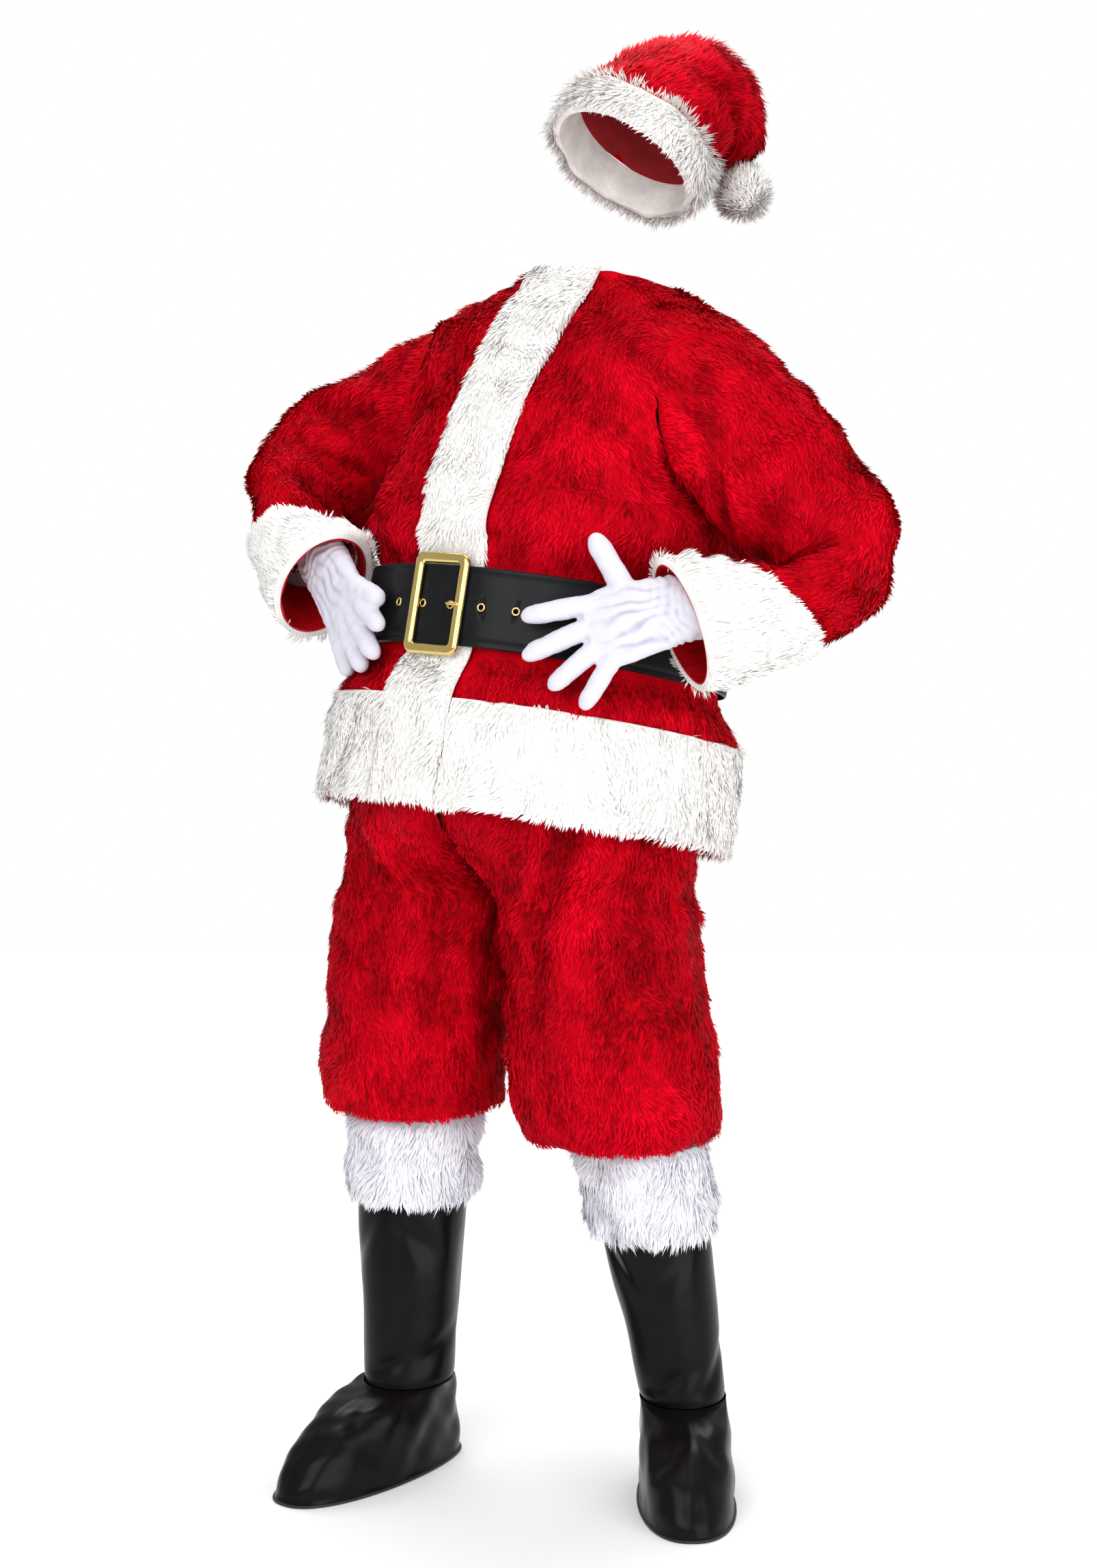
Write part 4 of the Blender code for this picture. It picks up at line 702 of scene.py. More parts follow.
# --- Pile ----------------------------------------------------------------------------------------
@dataclass(frozen=True)
class Pile:
    """Strands that stand on a surface: their size, spacing, lean and how they gather into locks."""

    finish: PileFinish
    length: float
    width: float
    spacing: float
    lean: float                     # 0 is upright and 1 is flat along the nap
    scatter: float                  # how much each strand's own direction differs
    lock: float                     # usual distance between locks
    pull: float                     # how far tips are drawn into a lock
    crest_light: float                    # painted light: how much lighter strands at a lock's crest are
    ruffle: float                   # how much locks tilt the shading
    swirl: float = 0.35             # how far the nap turns from place to place, in radians
    streak: float = 2.2             # how many times longer locks are upwards
    shade: float = 0.12             # painted shade and light: how much darker strands in a full hollow are, and lighter on a full ridge
    hollow: float = 0.0036          # depth of a full hollow
    bare_face: float = 0.10         # a face of no more weight than this gets no roots
    bare: float = 0.12              # a root of no more weight than this gets no strand
    swirl_waves: tuple[float, float] = (0.11, 0.03)
    lean_wave: float = 0.05
    knee: float = 0.45              # where along it a strand bends and is widest
    lift: float = 0.0012            # least height of a tip over its root
    root_depth: float = 0.0005
    tone: float = 0.52              # usual place on the finish's scale from root to tip

    def sow(self, grid: Array, outward: Array, looped: bool, nap: Nap, weight: Array,
            source: np.random.Generator) -> tuple[Array, Array, Array, Array, Array]:
        """Spreads roots over a grid by area.

        Args:
            grid: Points of the surface.
            outward: Their unit normals.
            looped: Whether the last column joins the first.
            nap: Which way the pile lies along the rows.
            weight: Each point's share of the full length.
            source: Where random numbers come from.

        Returns:
            Roots, normals, directions of the nap, shares of the full length, and depths in hollows.
        """
        along = np.gradient(grid, axis=0) * nap.value
        along = unit(along - outward * dot(along, outward))
        face = quads(*grid.shape[:2], looped)
        area = face_areas(grid, face) * (weight.reshape(-1)[face].mean(1) > self.bare_face)
        count = int(area.sum() / self.spacing ** 2)
        sums = np.cumsum(area)
        pick = np.searchsorted(sums, (np.arange(count) + source.random(count)) / count * sums[-1])
        pick = np.minimum(pick, len(face) - 1)
        u, v = source.random((2, count, 1))
        shares = np.stack([(1 - u) * (1 - v), u * (1 - v), u * v, (1 - u) * v], 1)

        def spread(values: Array) -> Array:
            """The grid's values at the roots, each a mix of its face's four corners."""
            return (values.reshape(face.max() + 1, -1)[face[pick]] * shares).sum(1)

        reach = spread(weight)[:, 0]
        keep = reach > self.bare
        # hollow depths for painted shade: they darken strands in hollows and lighten those on ridges
        sunk = spread(np.clip(hollows(grid, outward, looped) / self.hollow, -1, 1.4))[:, 0]
        normal = unit(spread(outward)[keep])
        nap_line = spread(along)[keep]
        nap_line = unit(nap_line - normal * dot(nap_line, normal))
        return spread(grid)[keep], normal, nap_line, reach[keep], sunk[keep]

    def grow(self, name: str, grid: Array, outward: Array, looped: bool, nap: Nap, seed: int,
             weight: object = 1.0) -> Thing:
        """Covers a grid of points with strands.

        A strand leans from the normal towards the nap, which swirls slowly from place to place, and
        its tip is drawn towards the nearest crest of a soft field, so that strands gather into
        locks. A strand is a narrow kite of two triangles, bent at its widest place.

        Args:
            name: The piece's name.
            grid: Points of the surface.
            outward: Their unit normals.
            looped: Whether the last column joins the first.
            nap: Which way the pile lies along the rows.
            seed: Seed of the spread.
            weight: Share of the full length, a number or one for each point.

        Returns:
            One joined mesh.
        """
        source = np.random.default_rng(seed)
        weight = np.broadcast_to(weight, grid.shape[:2])
        root, normal, nap_line, reach, sunk = self.sow(grid, outward, looped, nap, weight, source)
        count = len(root)
        broad, fine = (Ripple(wave, seed + number).at(root)
                       for number, wave in enumerate(self.swirl_waves, 1))
        bend = (self.swirl * broad + 0.4 * self.swirl * fine)[:, None]
        nap_line = nap_line * np.cos(bend) + np.cross(normal, nap_line) * np.sin(bend)
        lean = self.lean + 0.10 * Ripple(self.lean_wave, seed + 3).at(root) + 0.06 * source.normal(size=count)
        lean = np.clip(lean, 0.05, 0.95)[:, None]
        aim = unit(normal * (1 - lean) + nap_line * lean + self.scatter * source.normal(size=(count, 3)))
        over = unit(aim + nap_line * 0.55 * lean)
        length = (self.length * reach * source.uniform(0.75, 1.2, count))[:, None]
        lock = Ripple(self.lock, seed + 4, tall=self.streak)
        draw = lock.uphill(root)
        draw = draw - normal * dot(draw, normal)
        middle = root + aim * length * self.knee + draw * self.pull * 0.3
        tip = middle + over * length * (1 - self.knee) + draw * self.pull
        tip = tip + normal * np.maximum(self.lift - dot(tip - root, normal), 0)
        flat = unit(np.cross(tip - root, normal))
        twist = source.normal(0, 0.28, (count, 1))
        sideways = flat * np.cos(twist) + np.cross(unit(tip - root), flat) * np.sin(twist)
        half = sideways * self.width / 2 * source.uniform(0.7, 1.25, (count, 1))
        points = np.stack([root - normal * self.root_depth, middle + half, middle - half, tip], 1)
        tilt = flat * source.normal(0, 0.12, (count, 1)) + draw * self.ruffle
        shaded = unit(normal + 0.22 * over + tilt)
        # painted shade and light: strands are darker in hollows, lighter on ridges and at a lock's crest
        own = self.tone + 0.12 * source.normal(size=count) + self.crest_light * lock.at(root) - self.shade * sunk
        own = np.clip(own, 0, 1)
        # painted shade and light along each strand: dark at the root, light at the tip
        tone = np.stack([own * 0.35, own * 0.85, own * 0.85, own * 0.7 + 0.30], 1)
        start = np.arange(count)[:, None, None] * 4
        faces = (start + np.array([[0, 1, 2], [2, 1, 3]])).reshape(-1, 3)
        made = add_mesh(name, points, faces.tolist(), [self.finish], sharp=180.0)
        set_values(made.data, "tone", tone)
        made.data.normals_split_custom_set_from_vertices(np.repeat(shaded, 4, axis=0).tolist())
        LOG.info("%s: %d strands", name, count)
        return made


RED_PILE = Pile(RED_STRANDS, length=0.0130, width=0.0023, spacing=0.0033, lean=0.80, scatter=0.07,
                lock=0.011, pull=0.0016, crest_light=0.16, ruffle=0.30, shade=0.38)
WHITE_PILE = Pile(WHITE_STRANDS, length=0.0130, width=0.0026, spacing=0.0026, lean=0.88, scatter=0.06,
                  lock=0.012, pull=0.0010, crest_light=0.05, ruffle=0.03)
LONG_PILE = Pile(COOL_STRANDS, length=0.0200, width=0.0024, spacing=0.0026, lean=0.84, scatter=0.08,
                 lock=0.018, pull=0.0022, crest_light=0.08, ruffle=0.06)
HAT_PILE = Pile(RED_STRANDS, length=0.0165, width=0.0024, spacing=0.0028, lean=0.74, scatter=0.11,
                lock=0.012, pull=0.0024, crest_light=0.16, ruffle=0.30, shade=0.40)
BRIM_PILE = Pile(WHITE_STRANDS, length=0.0185, width=0.0023, spacing=0.0026, lean=0.56, scatter=0.14,
                 lock=0.014, pull=0.0024, crest_light=0.06, ruffle=0.04)
POMPOM_PILE = Pile(WHITE_STRANDS, length=0.0170, width=0.0021, spacing=0.0017, lean=0.50, scatter=0.22,
                   lock=0.010, pull=0.0010, crest_light=0.04, ruffle=0.0, swirl=1.2, streak=1.0, shade=0.0)

LUMP_WAVE = 0.045                       # usual distance between a backing's lumps
FULLEST_CUT, LEANEST_CUT = 0.99, 0.31   # most and least of its flat rectangle that a cut fills


def sheet_of_plush(name: str, surface: Array, looped: bool, pile: Pile, ground: Sequence[Finish], nap: Nap,
                   seed: int, outside: object, inside: object, flipped: bool = False,
                   weight: object = 1.0, capped: bool = False,
                   uneven: float = 0.0012) -> Thing:
    """A panel of plush: its backing as a thin wall, and its pile.

    Args:
        name: The CAD node that it stands for.
        surface: A grid on the node's plain outer surface.
        looped: Whether the last column joins the first.
        pile: The pile on it.
        ground: Finishes of the backing's outer and inner faces.
        nap: Which way the pile lies.
        seed: Seed of the pile.
        outside: How far the backing's face is outside the surface, a number or one for each point.
        inside: How far its inner face is inside the surface.
        flipped: Whether the grid's own normals point in.
        weight: Share of the pile's length at each point.
        capped: Whether the last rings are closed.
        uneven: Height of the backing's small lumps.

    Returns:
        The backing, which rides on the suit and stands for the node.
    """
    facing = -1 if flipped else 1
    out = grid_normals(surface, looped) * facing
    lumps = Ripple(LUMP_WAVE, seed + 9).at(surface)[..., None] * uneven
    face = surface + out * (np.asarray(outside, float)[..., None] + lumps)
    back = surface - out * np.asarray(inside, float)[..., None]
    made = wall(name + "_backing", face, back, looped, ground, flipped, capped)
    stand_for(made, name)
    tall, wide = face.shape[0] // 2, face.shape[1] // 2
    strands = pile.grow(name + "_pile", face, grid_normals(face, looped) * facing, looped, nap, seed, weight)
    across = face[tall] if not looped else np.concatenate([face[tall], face[tall, :1]])
    width = line_length(across)
    length = line_length(face[:, wide])
    area = patch_area(face, looped)
    length = max(length, area / width / FULLEST_CUT)
    LOG.info("%s: flat %.3f x %.3f m, %.4f square metres", name, width, length, area)
    return made


# --- Jacket --------------------------------------------------------------------------------------
class Section(NamedTuple):
    """A section across the jacket; height is along its leaning axis."""

    height: float
    half_width: float
    front: float
    back: float


class Ring(NamedTuple):
    """A section along a sleeve: its centre and half sizes."""

    x: float
    y: float
    z: float
    half_high: float
    half_deep: float


@dataclass
class Jacket:
    """The jacket: two fronts and a back, sleeves with lined cuffs, a front strip and a hem band."""

    sections: tuple[Section, ...] = table(Section,
        (-0.232, 0.246, 0.242, 0.224), (-0.17, 0.243, 0.241, 0.22), (-0.108, 0.238, 0.238, 0.212),
        (-0.082, 0.229, 0.229, 0.198), (-0.05, 0.214, 0.215, 0.18), (0.0, 0.214, 0.215, 0.18),
        (0.05, 0.214, 0.215, 0.18), (0.095, 0.229, 0.223, 0.19), (0.15, 0.235, 0.216, 0.196),
        (0.22, 0.238, 0.197, 0.194), (0.29, 0.24, 0.172, 0.182), (0.34, 0.238, 0.146, 0.16),
        (0.374, 0.226, 0.123, 0.134), (0.398, 0.184, 0.104, 0.112), (0.42, 0.136, 0.093, 0.094),
        (0.438, 0.092, 0.087, 0.08))
    folds: tuple[Fold, ...] = table(Fold,
        (70, 8.4, 26, 0.7, -0.035, -0.012), (48, 9.3, 24, 0.5, -0.03, -0.008),
        (62, 7.3, 20, 0.5, 0.02, 0.008), (30, 7.1, 18, 0.5, -0.01, 0.007),
        (-62, 8.6, 24, 0.6, 0.035, -0.011), (-42, 9.6, 22, 0.5, 0.03, -0.007),
        (-50, 7.2, 24, 0.5, -0.015, 0.009), (118, 8.8, 24, 0.6, 0.03, -0.01),
        (150, 9.8, 30, 0.6, 0.01, -0.008), (180, 7.4, 34, 0.6, 0.0, 0.009),
        (-118, 8.7, 26, 0.6, -0.03, -0.01), (-150, 8.2, 26, 0.5, 0.012, 0.008),
        (80, 3.2, 14, 0.9, 0.0, 0.008), (-75, 3.0, 14, 0.9, 0.0, 0.008), (140, 2.6, 16, 1.4, 0.0, 0.01),
        (-140, 2.8, 18, 1.4, 0.0, 0.009))
    creases: tuple[Fold, ...] = table(Fold,
        (38, 8.3, 20, 0.34, 0.018, -0.008), (55, 7.7, 16, 0.26, -0.02, -0.0072),
        (22, 6.9, 14, 0.24, 0.015, -0.0058), (68, 9.9, 18, 0.3, -0.045, -0.0087),
        (-30, 8.0, 18, 0.3, -0.02, -0.0072), (-58, 9.2, 18, 0.3, 0.045, -0.008),
        (100, 7.4, 20, 0.3, 0.02, -0.0072), (165, 8.6, 26, 0.36, -0.01, -0.0072),
        (-165, 9.4, 26, 0.36, 0.012, -0.0072), (-105, 7.6, 20, 0.3, -0.02, -0.0072),
        (40, 3.6, 12, 0.42, 0.01, -0.0065), (-35, 3.3, 12, 0.42, -0.015, -0.0065),
        (110, 3.4, 12, 0.6, 0.01, -0.0072))
    left_rings: tuple[Ring, ...] = table(Ring,
        (0.23, -0.11, 1.262, 0.114, 0.096), (0.276, -0.134, 1.212, 0.106, 0.092),
        (0.318, -0.15, 1.154, 0.103, 0.088), (0.334, -0.162, 1.106, 0.094, 0.074),
        (0.308, -0.182, 1.08, 0.086, 0.064), (0.252, -0.212, 1.069, 0.085, 0.06),
        (0.198, -0.24, 1.061, 0.08, 0.057), (0.151, -0.264, 1.055, 0.078, 0.057))
    right_rings: tuple[Ring, ...] = table(Ring,
        (-0.142, 0.19, 1.262, 0.118, 0.098), (-0.204, 0.206, 1.252, 0.104, 0.094),
        (-0.264, 0.204, 1.226, 0.096, 0.088), (-0.298, 0.168, 1.188, 0.09, 0.08),
        (-0.304, 0.116, 1.152, 0.08, 0.072), (-0.3, 0.068, 1.122, 0.074, 0.066),
        (-0.287, 0.025, 1.102, 0.076, 0.064), (-0.273, -0.015, 1.079, 0.078, 0.06))
    left_folds: tuple[Fold, ...] = table(Fold,
        (170, 1.6, 60, 0.35, 0.004, -0.011), (200, 2.5, 70, 0.35, -0.003, -0.01),
        (20, 3.4, 50, 0.35, 0.004, 0.008), (300, 2.2, 50, 0.4, 0.006, -0.012),
        (250, 4.0, 60, 0.35, -0.004, -0.004), (60, 2.6, 60, 0.4, 0.003, -0.009),
        (330, 3.3, 50, 0.35, 0.0, -0.005), (285, 1.3, 34, 0.22, 0.014, -0.0109),
        (290, 2.8, 34, 0.2, -0.01, -0.0109), (265, 3.4, 34, 0.2, -0.012, -0.0093),
        (300, 1.75, 30, 0.17, 0.02, 0.0078), (240, 2.9, 36, 0.22, 0.006, -0.0078),
        (270, 4.5, 40, 0.2, 0.004, -0.0078), (90, 1.8, 40, 0.28, 0.006, -0.0093),
        (110, 3.6, 40, 0.28, -0.006, -0.0093))
    right_folds: tuple[Fold, ...] = table(Fold,
        (150, 1.2, 60, 0.3, 0.008, -0.011), (130, 1.9, 60, 0.3, 0.008, -0.011),
        (140, 2.6, 60, 0.3, 0.006, -0.01), (100, 3.3, 60, 0.3, 0.004, -0.009),
        (70, 4.1, 50, 0.3, 0.003, -0.008), (260, 2.4, 60, 0.35, -0.004, -0.009),
        (230, 3.6, 60, 0.35, 0.0, 0.007), (110, 1.5, 40, 0.2, 0.012, -0.0093),
        (95, 2.3, 40, 0.2, 0.012, -0.0101), (80, 2.9, 36, 0.18, 0.01, -0.0093),
        (100, 3.75, 36, 0.18, 0.004, -0.0093), (60, 4.6, 40, 0.18, 0.004, -0.0078),
        (300, 3.2, 44, 0.28, -0.006, -0.0093))
    left_aim: tuple = ((0.78, -0.05, -0.62), (-0.88, -0.38, -0.30))
    right_aim: tuple = ((-0.92, 0.30, -0.22), (0.40, -0.72, -0.56))
    band_row: int = 2
    belt_row: int = 5
    armhole_row: int = 10
    armhole_rows: int = 2
    neck_row: int = 15
    armhole_spread: float = math.radians(33)
    squareness: float = 2.3
    strip_half_angle: float = math.radians(12.5)
    cuff_start: float = 5.0
    cuff_end: float = 7.0
    armhole_blend: float = 2.6
    sleeve_clear: float = 0.005
    sleeve_clear_row: float = 0.6
    softness: float = 0.003
    backing: float = 0.008          # from the plush's outer surface to its inner face
    pile_above: float = 0.0035      # how far the backing's face lies under that surface
    seam_depth: float = 0.0025      # how far red panels are drawn in at their seams
    trim_rise: float = 0.0085       # how far the white backings swell between their edges
    cuff_sink: float = 0.005        # how far a cuff's ends lie under its surface
    band_sink: float = 0.006        # how far the hem band's edges do
    strip_press: float = 0.0035     # rise of the front strip under the belt
    strip_sink: float = 0.0004
    strip_clear: float = 0.0035     # angle left between the front strip and the hem band
    lining_depth: float = 0.0056
    satin: float = 0.0015
    belt_half: float = 0.047
    belt_clear: float = 0.001
    regrowth: float = 0.016         # distance from the belt over which the pile grows back
    arm_steps: int = 36
    front_cols: int = 44
    back_cols: int = 84

    # Surfaces
    def belly_radius(self, angle: Array, row: Array) -> Array:
        """Distance of a section from its axis: a squarish oval, deeper in front than behind."""
        _, wide, front, back = columns_of(self.sections, row)
        deep = np.where(np.cos(angle) > 0, front, back)
        power = self.squareness
        return (np.abs(np.sin(angle) / wide) ** power + np.abs(np.cos(angle) / deep) ** power) ** (-1 / power)

    def torso_radius(self, angle: Array, row: Array) -> Array:
        """The section's distance with its folds and creases, which fade out at the belt."""
        beside_belt = np.clip(np.abs(row - self.belt_row) - 1, 0, 1)
        folds = fold_height((*self.folds, *self.creases), np.degrees(angle), row)
        return self.belly_radius(angle, row) + folds * beside_belt

    def torso(self, angle: Array, row: Array) -> Array:
        """The body's outer surface at angles from the front and rows up."""
        angle, row = np.broadcast_arrays(np.asarray(angle, float), np.asarray(row, float))
        radius = self.torso_radius(angle, row)
        height = through(self.sections, row)[..., 0]
        return STANCE.leaning(np.stack([radius * np.sin(angle), -radius * np.cos(angle), height], -1))

    def off_torso(self, points: Array, clear: float) -> Array:
        """Points moved straight out from the jacket's axis, softly, until they are clear of it."""
        upright = STANCE.turned_back(np.asarray(points, float) - STANCE.waist)
        across = upright[..., 0]
        lean = STANCE.lean
        behind = upright[..., 1] * math.cos(lean) - upright[..., 2] * math.sin(lean)
        up = upright[..., 2] * math.cos(lean) + upright[..., 1] * math.sin(lean)
        rows = np.linspace(0, self.neck_row, 10 * self.neck_row + 1)
        row = np.interp(up, through(self.sections, rows)[:, 0], rows)
        angle = np.arctan2(across, -behind)
        short = self.torso_radius(angle, row) + clear - np.hypot(across, behind)
        push = self.softness * np.logaddexp(0, short / self.softness)
        moved = np.stack([across + push * np.sin(angle), behind - push * np.cos(angle), up], -1)
        return STANCE.leaning(moved)

    def armhole(self, side: Side, turn: Array) -> tuple[Array, Array]:
        """Angles and rows of the armhole's outline; turn runs from the underarm about the arm."""
        angle = side.value * math.pi / 2 + self.armhole_spread * np.sin(turn)
        row = self.armhole_row - self.armhole_rows * np.cos(turn)
        return angle, row

    def sleeve(self, side: Side, turn: Array, row: Array) -> Array:
        """A sleeve's outer surface: ovals square to an aim that swings from shoulder to cuff.

        Near the armhole the ovals turn into its outline, and past it they are pushed off the body.
        """
        left = side is Side.LEFT
        rings, folds = (self.left_rings, self.left_folds) if left else (self.right_rings, self.right_folds)
        start, end = self.left_aim if left else self.right_aim
        turn, row = np.broadcast_arrays(np.asarray(turn, float), np.asarray(row, float))

        def ring(at: Array) -> Array:
            """The free sleeve's ovals at rows."""
            x, y, z, high, deep = columns_of(rings, at)
            aim = swung(start, end, np.clip(at / self.cuff_end, 0, 1))
            upward = np.broadcast_to([0.0, 0.0, 1.0], aim.shape)
            upward = unit(upward - aim * dot(upward, aim))
            level = np.cross(aim, upward)
            swell = fold_height(folds, np.degrees(turn), at)
            swell = swell * np.clip(at, 0, 1) * np.clip(self.cuff_start - at, 0, 1)
            tall, wide = (high + swell)[..., None], (deep + swell)[..., None]
            centre = np.stack([x, y, z], -1)
            return centre - upward * tall * np.cos(turn)[..., None] - level * wide * np.sin(turn)[..., None]

        share = ease(1 - row / self.armhole_blend)[..., None]
        seam = self.torso(*self.armhole(side, turn))
        free = ring(row) + share * (seam - ring(np.zeros_like(row)))
        away = np.clip(row / self.sleeve_clear_row, 0, 1)[..., None]
        return free + away * (self.off_torso(free, self.sleeve_clear) - free)

    # Rows and edges
    def strip_half(self, rows: Array) -> Array:
        """Half the front strip's angle at each row, for an even width."""
        at_belt = through(self.sections, self.belt_row)[2]
        return self.strip_half_angle * at_belt / through(self.sections, rows)[:, 2]

    def armhole_edge(self, rows: Array, arm: slice, side: Side, towards: int) -> Array:
        """Angles of a panel's side edge: the side seam, and the armhole where it is cut out."""
        edge = np.full(len(rows), side.value * math.pi / 2)
        turns = np.linspace(0, math.pi, self.arm_steps + 1)
        edge[arm] += towards * self.armhole_spread * np.sin(turns)
        return edge

    def body_rows(self) -> tuple[Array, slice]:
        """Rows of the red panels, and which of them lie along the armhole."""
        lower = np.linspace(self.band_row - 0.05, self.armhole_row - self.armhole_rows, 38)[:-1]
        middle = self.armhole(Side.LEFT, np.linspace(0, math.pi, self.arm_steps + 1))[1]
        upper = np.linspace(self.armhole_row + self.armhole_rows, self.neck_row, 20)[1:]
        return np.concatenate([lower, middle, upper]), slice(len(lower), len(lower) + len(middle))

    def beside_belt(self, rows: Array) -> Array:
        """Share of the pile's length: none under the belt, growing back beyond its edges."""
        height = through(self.sections, rows)[:, 0]
        return np.clip((np.abs(height) - self.belt_half - self.belt_clear) / self.regrowth, 0, 1)[:, None]

    # Pieces
    def build_body(self) -> None:
        """The two fronts and the back, sewn at the side seams and shoulders."""
        rows, arm = self.body_rows()
        strip = self.strip_half(rows)
        front = between(strip * 0.8, self.armhole_edge(rows, arm, Side.LEFT, -1), self.front_cols)
        start = self.armhole_edge(rows, arm, Side.LEFT, 1)
        end = self.armhole_edge(rows, arm, Side.RIGHT, -1) + 2 * math.pi
        back = between(start, end, self.back_cols)
        under_strip = np.ones(self.front_cols)
        under_strip[:4] = (0.0, 0.0, 0.3, 0.8)
        weight = self.beside_belt(rows) * under_strip
        self.panel("jacket_front_left", front, rows, weight, 11)
        self.panel("jacket_front_right", -front[:, ::-1], rows, weight[:, ::-1], 12)
        self.panel("jacket_back", back, rows, self.beside_belt(rows), 13)

    def panel(self, name: str, angles: Array, rows: Array, weight: Array, seed: int) -> None:
        """A red panel on a grid of angles and rows, drawn in slightly at its seams."""
        outside = -self.pile_above - seam_dip(angles.shape[1], self.seam_depth, 1.1)
        sheet_of_plush(name, self.torso(angles, rows[:, None]), False, RED_PILE, [RED_GROUND, RED_BACKING],
                       Nap.DOWN_ROWS, seed, outside, self.backing, weight=weight)

    def build_sleeve(self, side: Side) -> None:
        """A red sleeve, its white cuff and the satin that lines the cuff."""
        seed = 21 if side is Side.LEFT else 31
        sleeve, cuff = "sleeve_" + side.word, "cuff_" + side.word
        turns = full_turn(72)
        rows = np.linspace(0, self.cuff_start, 66)
        grid = self.sleeve(side, turns[None, :], rows[:, None])
        near_seam = bell(rows, 0.10) + bell(rows - self.cuff_start, 0.08)
        outside = (-self.pile_above - 0.002 * near_seam)[:, None]
        sheet_of_plush(sleeve, grid, True, RED_PILE, [RED_GROUND, RED_BACKING], Nap.UP_ROWS, seed, outside,
                       self.backing - 0.001)
        rows = np.concatenate([[5.02, 5.02, 5.04, 5.08], np.linspace(5.15, 6.8, 20), [6.92, 6.98, 7.0, 7.0]])
        plain = self.sleeve(side, turns[None, :], rows[:, None])
        rise = self.trim_rise * rounded(np.linspace(-1, 1, len(rows)), 10)
        sheet_of_plush(cuff, plain, True, WHITE_PILE, [WHITE_GROUND, WHITE_GROUND], Nap.DOWN_ROWS, seed + 40,
                       (-self.cuff_sink + rise)[:, None], self.cuff_sink,
                       uneven=0.0016)
        plain = self.sleeve(side, turns[None, :], np.linspace(5.5, 6.99, 18)[:, None])
        out = grid_normals(plain, True)
        ripple = Ripple(0.03, seed + 5).at(plain)[..., None] * 0.0006
        deep = self.lining_depth + self.satin + ripple
        made = wall("cuff_lining_%s_satin" % side.word, plain - out * self.lining_depth, plain - out * deep,
                    True, [RED_SATIN])
        stand_for(made, "cuff_lining_" + side.word)

    def build_front_strip(self) -> None:
        """The white strip down the front, pressed flat where the belt crosses it."""
        rows = np.concatenate([[0.0, 0.0, 0.03, 0.1], np.linspace(0.2, 14.8, 110), [14.95, 15.0]])
        half = np.array([0, 0.25, 0.5, 0.75, 0.9, 0.98, 1.0, 1.0])
        across = np.concatenate([-half[:0:-1], half])
        angles = self.strip_half(rows)[:, None] * across
        under_belt = np.clip(2.6 - np.abs(rows - self.belt_row), 0, 1)
        full = self.trim_rise * (1 - under_belt) + self.strip_press * under_belt
        end = np.clip(np.arange(len(rows)) / 3, 0, 1) ** 0.5
        edge = rounded(np.linspace(-1, 1, len(across)), 5)
        rise = 0.0006 + full[:, None] * edge * end[:, None]
        surface = self.torso(angles, rows[:, None])
        sheet_of_plush("front_strip", surface, False, WHITE_PILE, [WHITE_GROUND, WHITE_GROUND],
                       Nap.DOWN_ROWS, 51, rise, -self.strip_sink, weight=self.beside_belt(rows),
                       uneven=0.0008)

    def build_hem_band(self) -> None:
        """The white band around the hem, in three pieces cut at the side seams."""
        rows = np.concatenate([[0.0, 0.0, 0.01, 0.05, 0.12], np.linspace(0.2, 1.85, 20),
                               [1.95, 1.99, 2.0, 2.0]])
        strip = self.strip_half(rows) + self.strip_clear
        quarter = math.pi / 2
        pieces = (
            ("hem_band_left", strip, np.full_like(strip, quarter), 46, 61),
            ("hem_band_right", np.full_like(strip, -quarter), -strip, 46, 62),
            ("hem_band_back", np.full_like(strip, quarter), np.full_like(strip, 3 * quarter), 84, 63),
        )
        rise = self.trim_rise * rounded(np.linspace(-1, 1, len(rows)), 8)[:, None]
        for name, start, end, cols, seed in pieces:
            angles = between(start, end, cols)
            surface = self.torso(angles, rows[:, None])
            outside = -self.band_sink + rise - seam_dip(cols, 0.0015, 1.2)
            sheet_of_plush(name, surface, False, WHITE_PILE, [WHITE_GROUND, RED_BACKING], Nap.DOWN_ROWS, seed,
                           outside, self.band_sink)

    def build(self) -> None:
        """Every piece of the jacket."""
        self.build_body()
        for side in Side:
            self.build_sleeve(side)
        self.build_front_strip()
        self.build_hem_band()


